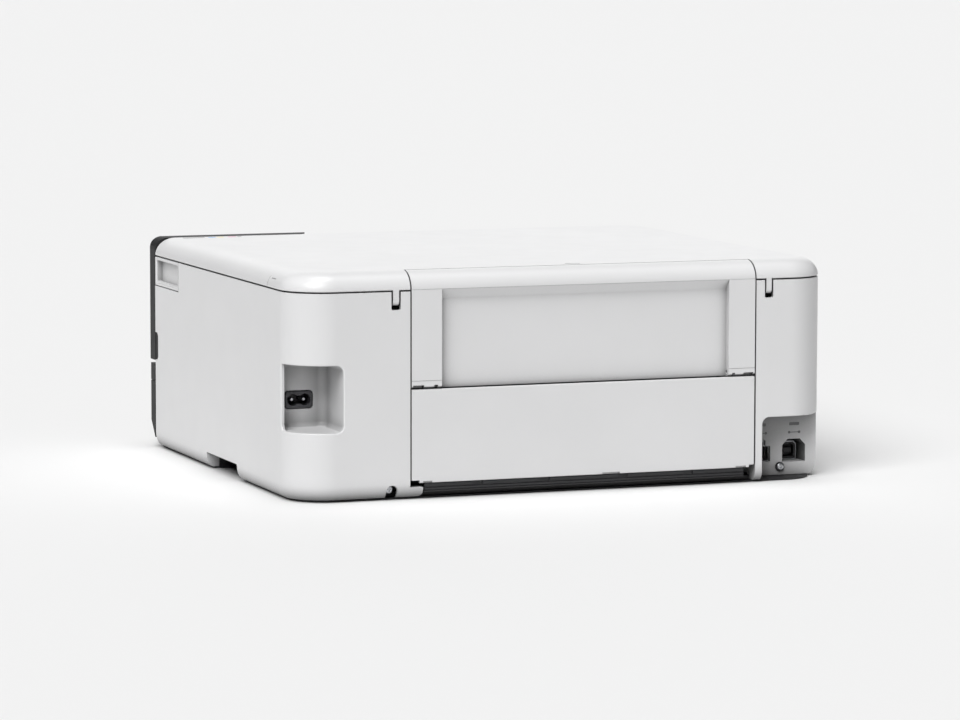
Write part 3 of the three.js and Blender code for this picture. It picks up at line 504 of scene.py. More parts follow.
def round_over(inset, reach, rise, top, above, steps):
    """Plan levels, as (inset, height), of an upper edge that rounds in, from just above a height."""
    levels = [(inset + reach * across, top - rise + rise * up) for across, up in quarter(steps)[1:]]
    return [(a, z) for a, z in levels if z > above]


def pillow(inset, top):
    """The lid's form."""
    foot = [(inset + 0.35, LID_BOTTOM), (inset + 0.1, LID_BOTTOM + 0.2), (inset, LID_BOTTOM + 0.55)]
    return body_stack(foot + round_over(inset, LID_ROUND, LID_RISE, top, LID_BOTTOM + 0.7, 18))


def lid_step(grow):
    """What the lid leaves free for the raised black strip at the front right."""
    tip, step, rear = BEZEL_TIP_X - 0.8 - grow, BEZEL_STEP_X - 0.8 - grow, LID_STEP_Y + grow
    outline = [(tip, -FAR), (FAR, -FAR), (FAR, rear), (step, rear), (tip, FRONT + 1)]
    return prism("Z", outline, 0, FAR)


def behind_module(grow, front):
    return box(COLUMN_LEFT - grow, COLUMN_RIGHT + grow, front - grow, FAR, 0, FAR)


def hinge_ear(x0, x1):
    round_end = rod("X", HINGE_Y, HINGE_Z, 2.3, x0, x1, 0.3)
    stem = box(x0, x1, HINGE_Y - 1.8, HINGE_Y + 1.8, HINGE_Z, HINGE_Z + 3.6)
    return join(round_end, stem)


def hinge_tab(x0, x1):
    """A tab that hangs from the lid's rear edge; its lower end curves inwards."""
    bend = 3.3
    inner, top = REAR - 3.4, LID_BOTTOM + 0.9
    profile = [(inner, top), (inner, TAB_BOTTOM)]
    profile += arc(REAR - bend, TAB_BOTTOM + bend, bend, -70, 0, 8)
    profile += [(REAR, top)]
    return prism("X", profile, x0, x1)


def document_cover():
    lid = pillow(0, HEIGHT)
    inside = [(LID_SKIN, 100), (LID_SKIN, LID_BOTTOM + 0.4)]
    inside += round_over(LID_SKIN, 12.6, 9.6, HEIGHT - 2.4, LID_BOTTOM + 0.5, 8)
    hollow = cut(body_stack(inside), behind_module(LID_SKIN, 144), lid_step(LID_SKIN))
    hinge_room = rod("X", HINGE_Y, HINGE_Z, LID_CUT_R, COLUMN_LEFT, COLUMN_RIGHT)
    cut(lid, behind_module(0, 148.4), hinge_room, lid_step(0))
    cut(lid, hollow)
    join(lid, *[hinge_tab(*tab) for tab in TABS], *[hinge_ear(*ear) for ear in EARS])
    split = box(SIDE - 3, FAR, LID_SPLIT_Y - 0.25, LID_SPLIT_Y + 0.25, LID_BOTTOM - 1, 141.2)
    split_band = cut(split, pillow(0.3, HEIGHT - 0.3))
    mark = box(SIDE - 6, FAR, 113.5, 121.5, 139.7, 140.3)
    mark_band = cut(mark, pillow(0.35, HEIGHT - 0.3))
    holes = [rod("X", HINGE_Y, HINGE_Z, PIN_HOLE_R, *span, steps=16) for span in PIN_HOLES]
    dimple = rod("Z", -10, 143, 5, HEIGHT - 0.25, HEIGHT + 2)
    cut(lid, split_band, mark_band, dimple, *holes)
    finish(lid, "lid_shell", "document_cover", "white_shell", ["document_cover"], 0.2)


def document_pad():
    pad = rounded_box(-158, 158, -118, 124, LID_BOTTOM + 0.05, HEIGHT - 2.8, 4, edge=1.2)
    finish(pad, "lid_pad", "document_cover", "white_foam", ["document_pad"])


def colour_marks():
    """Plain colour patches on the lid near its front right corner, for the five inks."""
    spans = (
        ("label_grey", 152.4, 168.0),
        ("label_blue", 144.6, 149.6),
        ("label_yellow", 138.4, 143.2),
        ("label_pink", 129.6, 135.4),
        ("label_grey", 125.6, 128.6),
    )
    for i, (look, x0, x1) in enumerate(spans):
        patch = rounded_box(x0, x1, -141.5, -137.5, HEIGHT - 0.1, HEIGHT + 0.02, 0.4, edge=0.05)
        finish(patch, f"colour_mark_{i + 1}", "document_cover", "white_shell", look=look)


# ---- white side covers
POCKET_X = 152.3
POCKET_Y = 124.5
POCKET_SIDE_Y = 136.5
POCKET_Z = (44.6, 87.4)
INLET_X = 170.2
INLET_Z = 62.7
PORT_X = -136.9
PORT_Y = 140.5
PORT_TOP = 42.9
USB_X = -169
USB_Z = 9.9
LAN_X = -145.2
LAN_Z = 10.4
SCREW_X = -158.9
SCREW_Z = 6.9
GRIP_Y = (-146.2, -91)
GRIP_Z = (113.8, 130)
GRIP_GAP = 0.7
NOTCH_Y0, NOTCH_Y1, NOTCH_TOP = -26.4, 42, 11.3  # the hand notches in the side covers' lower edges
TAB_SLOT_BOTTOM = 121.6


def corner_point(along, depth, side):
    """A point of the rear corner in plan: along runs from the side over the arc to the rear."""
    length = CORNER_R * math.pi / 2
    if along < 0:
        x, y = SIDE - depth, REAR - CORNER_R + along
    elif along > length:
        x, y = SIDE - CORNER_R - (along - length), REAR - depth
    else:
        angle = along / CORNER_R
        x = SIDE - CORNER_R + (CORNER_R - depth) * math.cos(angle)
        y = REAR - CORNER_R + (CORNER_R - depth) * math.sin(angle)
    return side * x, y


def wrapped_flare(along0, along1, z0, z1, radii, deep, rim, side=1):
    """A cutter that follows the rear corner's curve and rounds the rim of the opening that it makes."""
    levels = [(rim, -1.5)] + [(rim * (1 - up), rim * across) for across, up in quarter(5)] + [(0.0, deep)]
    rings = []
    for grow, depth in levels:
        outline = rounded_rect(along0, along1, z0, z1, radii, grow, 8)
        points = []
        for (a, z), (next_a, next_z) in zip(outline, outline[1:] + outline[:1]):
            pieces = 48 if abs(next_a - a) > 5 else 1
            for k in range(pieces):
                along = a + (next_a - a) * k / pieces
                x, y = corner_point(along, depth, side)
                points.append((x, y, z + (next_z - z) * k / pieces))
        rings.append(points)
    return loft(rings)


def shell_wall():
    """The wall that both side covers share, with the openings that both have."""
    top = [(0, SHELL_TOP - 0.5), (0.12, SHELL_TOP - 0.14), (0.5, SHELL_TOP)]
    wall = body_stack(under_round(0) + top)
    inner_low = under_round(WALL)
    inner = body_stack([(inner_low[0][0], 0)] + inner_low + [(WALL, SHELL_TOP - 2), (0.9, SHELL_TOP + 0.1)])
    notch = (NOTCH_Y0, NOTCH_Y1, -5, NOTCH_TOP, (0, 0, 1.5, 1.5))
    notches = [flare("X", *notch, side * SIDE, side * (SIDE - 30), 0.5) for side in (1, -1)]
    grips = box(-FAR, FAR, -FAR, GRIP_Y[1] + GRIP_GAP, GRIP_Z[0] - GRIP_GAP, FAR)
    return cut(wall, inner, box(-FAR, FAR, -FAR, SHELL_FRONT, 0, FAR), grips, *notches)


def tab_slot(x0, x1):
    outline = rounded_rect(x0 - 1.15, x1 + 1.15, TAB_SLOT_BOTTOM, FAR, (1.2, 1.2, 0, 0))
    return prism("Y", outline, 150, FAR)


def pocket_space():
    """The mains inlet's pocket: filleted inside, open to the rear and round the corner to the side."""
    z0, z1 = POCKET_Z
    length = CORNER_R * math.pi / 2
    start = POCKET_SIDE_Y - (REAR - CORNER_R)
    end = length + SIDE - CORNER_R - POCKET_X
    rim = wrapped_flare(start, end, z0, z1, (4.5, 4.8, 4.8, 0.7), 3.2, 0.9)
    fillet = 5.5
    levels = [(z0 + fillet * across * 0.7, -fillet * (1 - up) * 0.7) for across, up in quarter(7)]
    levels += [(z0 + z1 - z, grow) for z, grow in levels[::-1]]
    rings = []
    for z, grow in levels:
        corner = arc(POCKET_X - grow + fillet, POCKET_Y - grow + fillet, fillet, 180, 270, 10)
        points = [(POCKET_X - grow, REAR - WALL)] + corner
        points += [(SIDE - WALL, POCKET_Y - grow), (SIDE - WALL, REAR - WALL)]
        rings.append(ring(points, "Z", z))
    return rim, loft(rings)


def right_side_cover():
    wall = common(shell_wall(), box(COLUMN_RIGHT, FAR, -FAR, FAR, 0, FAR))
    z0, z1 = POCKET_Z
    liner = box(POCKET_X - WALL, SIDE, POCKET_Y - WALL, REAR, z0 - WALL, z1 + WALL)
    return_wall = box(COLUMN_RIGHT, COLUMN_RIGHT + WALL, MODULE_FRONT, REAR - 1, SHELL_BOTTOM, 128)
    tongue_end = rounded_rect(99, COLUMN_RIGHT + 1, SHELL_BOTTOM, 8, (3.4, 0, 0, 0.8))
    tongue = prism("Y", tongue_end, 153, REAR)
    notch_y = (NOTCH_Y0 - WALL, NOTCH_Y0 - 0.05)
    notch_end = box(SIDE - 9, SIDE - 1, *notch_y, SHELL_BOTTOM, NOTCH_TOP + 2)
    extras = common(join(liner, return_wall, tongue, notch_end), body_form(0.02, SHELL_TOP))
    cover = join(wall, extras)
    inlet = rounded_rect(INLET_X - 9.6, INLET_X + 9.6, INLET_Z - 6, INLET_Z + 6, (2.6,) * 4)
    screw_notch = flare("Y", 116.2, 123.9, -6, 9.5, (0, 0, 3.6, 3.6), REAR, 148, 0.5)
    outline = [(-150, 61.7), (-142.5, 61.7), (-140.5, 63.7), (-140.5, 78.7), (-142.5, 80.7), (-150, 80.7)]
    front_notch = prism("X", outline, 180, 190)
    cut(cover, *pocket_space(), prism("Y", inlet, 100, 130), screw_notch, front_notch, tab_slot(*TABS[0]))
    finish(cover, "right_cover_shell", "base", "white_shell", ["right_side_cover"], 0.25, "white_shaded_inlet")


def usb_outline(half, low, high, corner):
    """A square socket's outline with its two upper corners bevelled."""
    x0, x1 = USB_X - half, USB_X + half
    top = [(x1, high - corner), (x1 - corner, high), (x0 + corner, high), (x0, high - corner)]
    return [(x0, low), (x1, low)] + top


def port_holes():
    """The well down to the USB socket, and the cut-out for the network socket with its clip."""
    usb = prism("Y", usb_outline(8.3, USB_Z, USB_Z + 15.2, 4), 100, 150)
    plug = rounded_rect(LAN_X - 6.8, LAN_X + 6.8, LAN_Z, LAN_Z + 10.6, (0.8, 0.8, 0.8, 0.8))
    clip = rounded_rect(LAN_X - 3.4, LAN_X + 3.4, LAN_Z + 9, LAN_Z + 14.6, (0, 0, 0.6, 0.6))
    screw = rod("Y", SCREW_X, SCREW_Z, 1.9, 100, 150)
    return usb, join(prism("Y", plug, 100, 150), prism("Y", clip, 100, 150)), screw


def left_side_cover():
    wall = common(shell_wall(), box(-FAR, COLUMN_LEFT, -FAR, FAR, 0, FAR))
    floor = PORT_Y - WALL
    liner = box(-SIDE, PORT_X + WALL, floor, REAR, SHELL_BOTTOM, PORT_TOP + WALL)
    return_wall = box(COLUMN_LEFT - WALL, COLUMN_LEFT, MODULE_FRONT, REAR - 1, SHELL_BOTTOM, 128)
    well = prism("Y", usb_outline(9.4, USB_Z - 1.1, USB_Z + 16.3, 4.3), 123, floor + 0.5)
    extras = common(join(liner, return_wall, well), body_form(0.02, SHELL_TOP))
    cover = join(wall, extras)
    length = CORNER_R * math.pi / 2
    start = CORNER_R * math.asin((PORT_Y - REAR + CORNER_R) / CORNER_R) + 2
    end = length + SIDE - CORNER_R + PORT_X
    rim = wrapped_flare(start, end, -20, PORT_TOP, (0, 0, 4.8, 0), 3.4, 0.8, side=-1)
    outline = [(-FAR, -10), (PORT_X, -10)] + arc(PORT_X - 4.8, PORT_TOP - 4.8, 4.8, 0, 90, 10)
    space = prism("Y", outline + [(-FAR, PORT_TOP)], PORT_Y, FAR)
    cut(cover, rim, space, *port_holes(), tab_slot(*TABS[1]))
    finish(cover, "left_cover_shell", "base", "white_shell", ["left_side_cover"], 0.25, "white_shaded_ports")


# ---- rear: paper support, rear cover, guide
RECESS_X = (-112.3, 86.4)
RECESS_FLOOR = 156.5
RECESS_TOP = 134
RECESS_INNER_TOP = 129
LUGS = ((91.5, 98), (-122.6, -116.1))
FOLD_Y = 158.2
FOLD_Z = 73.6


def crown(inset, drop, sweep, steps):
    """The support's rounded upper rear edge, that far inside it and below it."""
    points = []
    for i in range(steps + 1):
        angle = math.radians(sweep * i / steps)
        y = REAR - LID_ROUND + (LID_ROUND - inset) * math.cos(angle)
        points.append((y, HEIGHT - LID_RISE + (LID_RISE - drop) * math.sin(angle)))
    return points


def paper_support():
    """The pull-up support, with its round top edge, sunk panel and two rails whose feet hold the lugs."""
    profile = [(MODULE_FRONT, MODULE_BOTTOM), (FOLD_Y + 1.2, MODULE_BOTTOM)]
    profile += [(REAR - 0.3, MODULE_BOTTOM + 1.3), (REAR, MODULE_BOTTOM + 1.9)]
    profile += crown(0, 0.1, 85.5, 16) + [(MODULE_FRONT, HEIGHT - 0.4)]
    block = prism("X", profile, MODULE_LEFT, MODULE_RIGHT)
    x0, x1 = RECESS_X
    outline = [(RECESS_FLOOR, 60), (180, 60), (180, RECESS_TOP + 0.3), (REAR - 0.4, RECESS_TOP)]
    outline += [(RECESS_FLOOR + 0.8, RECESS_INNER_TOP), (RECESS_FLOOR, RECESS_INNER_TOP - 1.2)]
    sunk = prism("X", outline, x0, x1)
    carrier_space = box(x0 + 1, x1 - 1, 100, 154, 60, 132)
    rails = ((x1, MODULE_RIGHT), (MODULE_LEFT, x0))
    hollows = [box(a + 2.2, b - 2.2, 100, REAR - 2.4, MODULE_BOTTOM + 12, 132) for a, b in rails]
    lug_spaces = [box(a - 0.5, b + 0.5, 100, 161.1, 60, 76.6) for a, b in LUGS]
    creases = [box(a, b, REAR - 0.25, FAR, 75.7, 76.1) for a, b in ((x1 - 0.1, FAR), (-FAR, x0 + 0.1))]
    top_line = box(-FAR, FAR, REAR - 0.18, FAR, 134.1, 134.4)
    feet = ((98.4, MODULE_RIGHT - 0.9), (x1 + 2.6, 91.6), (-117, x0 - 2.6), (MODULE_LEFT + 0.9, -122.9))
    foot_slots = [box(a, b, 158, FAR, 60, 73.1) for a, b in feet]
    pin_hole = rod("X", FOLD_Y, FOLD_Z, 1.3, -126.5, 102, steps=16)
    cut(block, sunk, carrier_space, *hollows, *lug_spaces, *creases, top_line, pin_hole)
    cut(block, *foot_slots)
    finish(block, "support_panel", "paper_support", "white_shell", ["paper_support"], 0.25)


def rear_cover():
    edge = 0.9
    profile = [(REAR - WALL, 10.5), (REAR - 0.3, 10.5), (REAR, 10.8), (REAR, COVER_TOP - edge)]
    profile += arc(REAR - edge, COVER_TOP - edge, edge, 0, 90, 5)[1:] + [(REAR - WALL, COVER_TOP)]
    skin = prism("X", profile, MODULE_LEFT, MODULE_RIGHT)
    notches = [box(101.6, 120, 150, FAR, 0, 12.2), box(-140, -127.4, 150, FAR, 0, 12.2)]
    grips = [box(a, b, REAR - 1.4, FAR, 0, 11.6) for a, b in ((93, 99), (-36, -24), (-125, -118))]
    cut(skin, *notches, *grips)
    finish(skin, "rear_cover_panel", "rear_cover", "white_shell", ["rear_cover"], 0.25)


def rear_paper_guide():
    """The black guide behind the rear cover; its lower edge and its ribs show under the cover."""
    profile = [(152.4, 4.6), (160.4, 4.6), (160.8, 5.0), (160.8, 10.1), (159.1, 10.1), (159.1, 56)]
    profile += [(156, 56), (153.6, 48), (152.4, 30)]
    guide = prism("X", profile, -124, 97.8)
    bays = [box(x, x + 18, 156, FAR, 14, 50) for x in range(-112, 90, 26)]
    grooves = [box(-FAR, FAR, 160.0, FAR, 7.2, 8.0), box(-FAR, FAR, 160.2, FAR, 5.4, 5.9)]
    steps = [box(x, x + 7, 159.6, FAR, 7.2, 12) for x in (-88, -42, 12, 58)]
    cut(guide, *bays, *grooves, *steps)
    finish(guide, "rear_guide", "rear_cover", "dark_inner", ["rear_paper_guide"], 0.15)


def seam_gap_shade_strips():
    """Painted shade: dark strips deep in the two seam gaps beside the paper support and the rear cover,
    standing in for the shade in those gaps.
    """
    depth = 1.3
    profile = [(MODULE_FRONT, 13), (REAR - depth, 13)] + crown(depth, depth, 85, 8)
    for name, x in (("right", MODULE_RIGHT + 0.3), ("left", MODULE_LEFT - 0.7)):
        strip = prism("X", profile, x, x + 0.4)
        finish(strip, f"seam_gap_shade_strip_{name}", "base", "dark_inner")


def socket_marks():
    """Plain marks over the two sockets: a short bar, and a line between two dots."""
    z = 29.5
    y0, y1 = PORT_Y - 0.3, PORT_Y + 0.05
    for name, x in (("usb", USB_X - 0.3), ("network", LAN_X)):
        bar = rounded_box(x - 3.6, x + 3.6, y0, y1, z + 4.6, z + 6.6, 0.6, axis="Y", edge=0.03)
        finish(bar, f"{name}_mark_bar", "base", "grey_inner", look="mark_grey")
        line = rounded_box(x - 4, x + 4, y0, y1, z - 0.25, z + 0.25, 0.2, axis="Y", edge=0.03)
        join(line, *[rod("Y", x + step, z, 0.9, y0, y1) for step in (-3.6, 3.6)])
        finish(line, f"{name}_mark_line", "base", "grey_inner", look="mark_grey")


# ---- sockets, inlet and screws
PIN_SPACING = 8
LOBE_R = 3.8


def power_inlet():
    """The two-pin inlet: a soft-cornered block with a figure-of-eight well."""
    block = rounded_box(161, 179.4, 98, 125.2, 57.1, 68.3, 2.4, axis="Y", edge=0.7)
    pins = [INLET_X - PIN_SPACING / 2, INLET_X + PIN_SPACING / 2]
    well = box(pins[0], pins[1], 112, 130, INLET_Z - 2.7, INLET_Z + 2.7)
    join(well, *[rod("Y", x, INLET_Z, LOBE_R, 112, 130) for x in pins])
    cut(block, well, *[rod("Y", x, INLET_Z, 1.6, 90, 130) for x in pins])
    finish(block, "mains_inlet", "base", "dark_inner", ["power_inlet"], 0.25, "inlet_grey")
    contacts = box(pins[0] - 2, pins[1] + 2, 93, 96, INLET_Z - 2, INLET_Z + 2)
    join(contacts, *[rod("Y", x, INLET_Z, 1.15, 94, 123, 0.6) for x in pins])
    finish(contacts, "mains_pins", "base", "brass", ["inlet_contacts"], 0.1, "steel")


def usb_socket():
    """The socket sits at the bottom of the cover's well."""
    low, high = 10.3, 22.5
    case = prism("Y", usb_outline(6, low, high, 2), 122, 131)
    cut(case, prism("Y", usb_outline(5.5, low + 0.5, high - 0.5, 1.8), 124, 145))
    finish(case, "usb_case", "base", "steel", ["usb_socket"], 0.1)
    insert = prism("Y", usb_outline(5.4, low + 0.6, high - 0.6, 1.7), 124.1, 130.6)
    cut(insert, prism("Y", usb_outline(4.3, low + 1.8, high - 1.8, 1.4), 125.5, 145))
    join(insert, rounded_box(USB_X - 2.8, USB_X + 2.8, 125, 130.2, 14.8, 18, 0.3, axis="Y", edge=0.2))
    finish(insert, "usb_insert", "base", "dark_inner")


def network_socket():
    x0, x1, low, high = LAN_X - 7.9, LAN_X + 7.9, 9, 24.6
    case = rounded_box(x0, x1, 121, 137.6, low, high, 0.6, axis="Y", edge=0.2)
    plug_space = box(LAN_X - 6.5, LAN_X + 6.5, 124, 145, LAN_Z + 0.6, LAN_Z + 10)
    clip_space = box(LAN_X - 3.2, LAN_X + 3.2, 124, 145, LAN_Z + 9, LAN_Z + 13.2)
    cut(case, join(plug_space, clip_space))
    finish(case, "network_case", "base", "steel", ["network_socket"], 0.2)
    insert = box(LAN_X - 6.4, LAN_X + 6.4, 124.1, 132.6, LAN_Z + 0.7, LAN_Z + 9.9)
    inner = box(LAN_X - 5.8, LAN_X + 5.8, 126, 145, LAN_Z + 1.3, LAN_Z + 9.3)
    notch = box(LAN_X - 2.8, LAN_X + 2.8, 126, 145, LAN_Z + 8, LAN_Z + 20)
    cut(insert, join(inner, notch))
    finish(insert, "network_insert", "base", "dark_inner")
    spring = ((126.2, 1.5), (135.2, 1.5), (135.4, 1.8), (127.4, 6.6), (126.2, 6.6))
    profile = [(y, LAN_Z + z) for y, z in spring]
    for i in range(8):
        x = LAN_X - 3.57 + 1.02 * i
        finish(prism("X", profile, x - 0.2, x + 0.2), f"network_contact_{i + 1}", "base", "brass")


def pan_screw(name, node, x, y, z, head_r):
    """A pan-head screw that faces the rear, with a cross recess, and a dark ring round its head that is
    painted shade.
    """
    screw = rod("Y", x, z, head_r, y - 1.8, y, 1.1)
    join(screw, rod("Y", x, z, head_r * 0.45, y - 12, y - 1.2))
    arm = head_r * 0.5
    across = box(x - arm, x + arm, y - 0.8, y + 1, z - 0.3, z + 0.3)
    upright = box(x - 0.3, x + 0.3, y - 0.8, y + 1, z - arm, z + arm)
    cut(screw, join(across, upright))
    finish(screw, name, "base", "steel", [node], 0.08)
    # painted shade: a dark ring round the head stands in for the shadow around it
    seat = rod("Y", x, z, head_r + 0.55, y - 2.15, y - 1.5, 0.2)
    cut(seat, rod("Y", x, z, head_r + 0.02, y - 3, y))
    finish(seat, f"{name}_seat", "base", "dark_inner")


# ---- base and inside
FEET = {
    "foot_front_right": (140, -118),
    "foot_front_left": (-140, -118),
    "foot_rear_right": (140, 112),
    "foot_rear_left": (-140, 112),
}


def base_chassis():
    """The black bottom plate, with stiffening ribs under it where it does not rest on anything."""
    plate = body_stack([(9.9, 1.2), (9.9, 4)], 3)
    feet = [rod("Z", x, y, 9.4, 0, 10) for x, y in FEET.values()]
    hand_spaces = [box(*span, NOTCH_Y0 - 0.2, NOTCH_Y1 + 1, 0, 10) for span in ((-FAR, -160), (160, FAR))]
    wall_spans = ((-176.6, -170), (170, 176.6))
    notch_walls = [box(*span, NOTCH_Y0 - 3, NOTCH_Y0 - 0.6, 1.2, 12) for span in wall_spans]
    ports = box(-FAR, PORT_X + WALL + 0.4, PORT_Y - 3, FAR, 1.15, 10)
    columns = [
        box(98, COLUMN_RIGHT + WALL + 0.4, 145.5, FAR, 1.15, 10),
        box(COLUMN_LEFT - WALL - 0.4, COLUMN_LEFT + 0.4, 145.5, FAR, 1.15, 10),
        box(112, 130, 150, FAR, 1.15, 10),
    ]
    grooves = [box(-120, 120, y, y + 6, 0, 1.9) for y in range(-130, 140, 24)]
    # the skirt is the black base's rim, carried out close under the shell's lower edge, where it also stands
    # in for the contact shadow under the shell
    rim_and_shadow_skirt = body_stack([(6.2, 0.2), (5.7, 0.5), (5.7, 1.1), (9.9, 1.1), (9.9, 1.3)], 3)
    join(plate, rim_and_shadow_skirt)
    cut(plate, *feet, *hand_spaces, ports, *columns, box(-FAR, FAR, -FAR, -148.8, 0, 10), *grooves)
    join(plate, *notch_walls)
    finish(plate, "bottom_plate", "base", "dark_inner", ["base_chassis"], 0.2)


def rubber_feet():
    for node, (x, y) in FEET.items():
        foot = rod("Z", x, y, 9, 0, 3.4, 0.7)
        cut(foot, cut(rod("Z", x, y, 6.4, -1, 0.5), rod("Z", x, y, 4.6, -2, 2)))
        finish(foot, f"{node}_pad", "base", "rubber", [node], 0.1)


def waste_ink_absorber():
    """A stack of felt layers that soaks up waste ink."""
    layers = []
    thick = 24 / 5
    for i in range(5):
        low = 6 + i * thick
        high = low + thick + (0.1 if i < 4 else 0)
        layers.append(rounded_box(125, 181, -140, -66, low, high, 3, edge=0.9))
    stack = join(layers[0], *layers[1:])
    finish(stack, "waste_felt", "base", "white_foam", ["waste_ink_absorber"])


def print_carriage():
    """The carriage: an open bin for the tanks with a finger dip over each tank, a hole for its rail, and a
    flat tab at its rear.
    """
    x0, x1, y0, y1, z0, z1 = 92, 168, -16, 52, 70, 106
    shell = rounded_box(x0, x1, y0, y1, z0, z1, 1.5, edge=0.8)
    bin_space = box(x0 + 2, x1 - 2, y0 + 2, 30, z0 + 4, 120)
    rear_space = box(x0 - 1, x1 + 1, 32, 60, 88, 120)
    rail_hole = rod("X", 40, 80, 4.4, 60, 190)
    cut(shell, bin_space, rear_space, rail_hole)
    finger_dips = [rod("Y", x0 + 2 + 10 + 14 * i, z1 + 2, 5, y0 - 1, y0 + 3) for i in range(5)]
    cut(shell, *finger_dips)
    join(shell, box(x0 + 24, x1 - 24, 50, 65.4, 86, 87.8))
    finish(shell, "carriage_shell", "ink_carriage", "dark_inner", ["ink_carriage"], 0.2)


def ink_tanks():
    """Five tanks: a wide black one, then four narrow ones, each with a finger tab and a plain label."""
    x0, y0, z0 = 92, -16, 70
    wide = 18
    narrow = (76 - 4 - wide) / 4
    start = x0 + 2
    for name, label in (
        ("black", "label_grey"),
        ("grey", "label_grey"),
        ("cyan", "label_blue"),
        ("magenta", "label_pink"),
        ("yellow", "label_yellow"),
    ):
        width = wide if name == "black" else narrow
        tank = rounded_box(start + 0.4, start + width - 0.4, y0 + 2.4, 29.6, z0 + 4.4, 100, 1, edge=0.6)
        join(tank, rounded_box(start + 2, start + width - 2, y0 + 2.4, y0 + 8, 97, 105, 0.8, edge=0.5))
        cut(tank, rod("X", y0 + 10.5, 103, 3.2, start - 1, start + width + 1))
        finish(tank, f"tank_{name}", "ink_carriage", f"ink_{name}", [f"ink_tank_{name}"], 0.15)
        patch = rounded_box(start + 2, start + width - 2, 4, 26, 99.9, 100.15, 0.6, edge=0.05)
        finish(patch, f"tank_label_{name}", "ink_carriage", f"ink_{name}", look=label)
        start += width


# ---- scanner unit
SCANNER_SIDE = 181.9
SCANNER_FRONT = -145.4
SCANNER_BACK = 136
SCANNER_ARMS = ((130, 133), (-155, -152))


def scanner_plan(inset, low, high):
    return body_stack([(inset, low), (inset, high)], 3)


def gooseneck(x0, x1, leg0, leg1, bottom):
    """A flat hinge plate, from the hinge axis forwards and then down."""
    eye = rod("X", HINGE_Y, HINGE_Z, 2.3, x0, x1)
    return join(
        eye,
        box(x0, x1, leg0, HINGE_Y, HINGE_Z - 2, HINGE_Z + 1.4),
        box(x0, x1, leg0, leg1, bottom, HINGE_Z + 1.4),
    )


def scanner_housing():
    tub = box(-SCANNER_SIDE, SCANNER_SIDE, SCANNER_FRONT, SCANNER_BACK, 112, 126.4)
    common(tub, scanner_plan(SIDE - SCANNER_SIDE, 0, HEIGHT))
    inner = SCANNER_SIDE - 16
    cut(tub, box(-inner, inner, SCANNER_FRONT + 14, SCANNER_BACK - 10, 112 + WALL, 140))
    grips = [box(low, high, *GRIP_Y, GRIP_Z[0], SHELL_TOP) for low, high in ((166, SIDE), (-SIDE, -166))]
    grip_top = [(0, 100), (0, SHELL_TOP - 0.5), (0.12, SHELL_TOP - 0.14), (0.5, SHELL_TOP)]
    grips = [common(grip, body_stack(grip_top)) for grip in grips]
    join(tub, *grips, *[gooseneck(*arm, 132.4, 135.9, 116) for arm in SCANNER_ARMS])
    mouth = (GRIP_Y[0] + 2.2, GRIP_Y[1] - 1.8, GRIP_Z[0] + 2.4, GRIP_Z[1] + 0.9)
    recesses = [flare("X", *mouth, (1.2,) * 4, side * SIDE, side * (SIDE - 4.4), 1.2) for side in (1, -1)]
    rib_y = (SCANNER_FRONT + 20, SCANNER_BACK - 16)
    ribs_under = [box(x, x + 5, *rib_y, 111, 113) for x in range(-150, 150, 30)]
    cut(tub, *recesses, rod("X", HINGE_Y, HINGE_Z, PIN_HOLE_R, -FAR, FAR, steps=16), *ribs_under)
    finish(tub, "scanner_tub", "scanner_unit", "white_shell", ["scanner_housing"], 0.25)


def scanner_top():
    """The frame round the glass, with a plain scale of ticks along two of its edges, and the glass."""
    top = box(-SCANNER_SIDE, SCANNER_SIDE, SCANNER_FRONT, SCANNER_BACK, 126.8, 132.9)
    common(top, scanner_plan(SIDE - SCANNER_SIDE, 0, HEIGHT))
    opening = box(-151, 151, -107, 107, 120, 140)
    seat = prism("Z", rounded_rect(-156.4, 156.4, -112.4, 112.4, (0.8,) * 4), 129.5, 140)
    grip_y = (GRIP_Y[0] - 0.4, GRIP_Y[1] + 0.4)
    grips = [box(*span, *grip_y, 120, 140) for span in ((165.6, FAR), (-FAR, -165.6))]
    arms = [box(x0 - 0.4, x1 + 0.4, 132, 140, 120, 140) for x0, x1 in SCANNER_ARMS]
    ticks = []
    for x in range(-150, 151, 10):
        ticks.append(box(x - 0.25, x + 0.25, 114, 117 if x % 50 else 119.5, 132.75, 140))
    for y in range(-110, 111, 10):
        ticks.append(box(158, 161 if y % 50 else 163.5, y - 0.25, y + 0.25, 132.75, 140))
    cut(top, opening, seat, *grips, *arms, *ticks)
    finish(top, "scanner_frame", "scanner_unit", "white_shell", ["scanner_top_frame"], 0.3)
    pane = rounded_box(-156, 156, -112, 112, 129.9, 132.5, 0.5, edge=0.3)
    finish(pane, "scanner_pane", "scanner_unit", "glass", ["scanner_glass"])


def scan_bar():
    """The moving bar with its white light guide and dark lens strip."""
    rail_y, rail_z = -4, 117.2
    bar = rounded_box(-160, -142, -127.4, 122, 119.8, 126, 1, edge=0.4)
    cut(bar, box(-156, -146, -123.4, 118, 123.4, 140))
    slider = box(-160, -142, rail_y - 6, rail_y + 6, 115, 120.2)
    join(bar, cut(slider, rod("X", rail_y, rail_z, 2.4, -170, -130)))
    finish(bar, "scan_bar_body", "scan_bar", "dark_inner", ["scan_bar"], 0.2)
    guide = rod("Y", -153.6, 124.4, 1.3, -122, 116.6, 0.3)
    finish(guide, "scan_light_guide", "scan_bar", "white_shell")
    lenses = rounded_box(-150.6, -148.6, -122, 116.6, 123.3, 125.4, 0.3, edge=0.2)
    finish(lenses, "scan_lens_strip", "scan_bar", "glass")


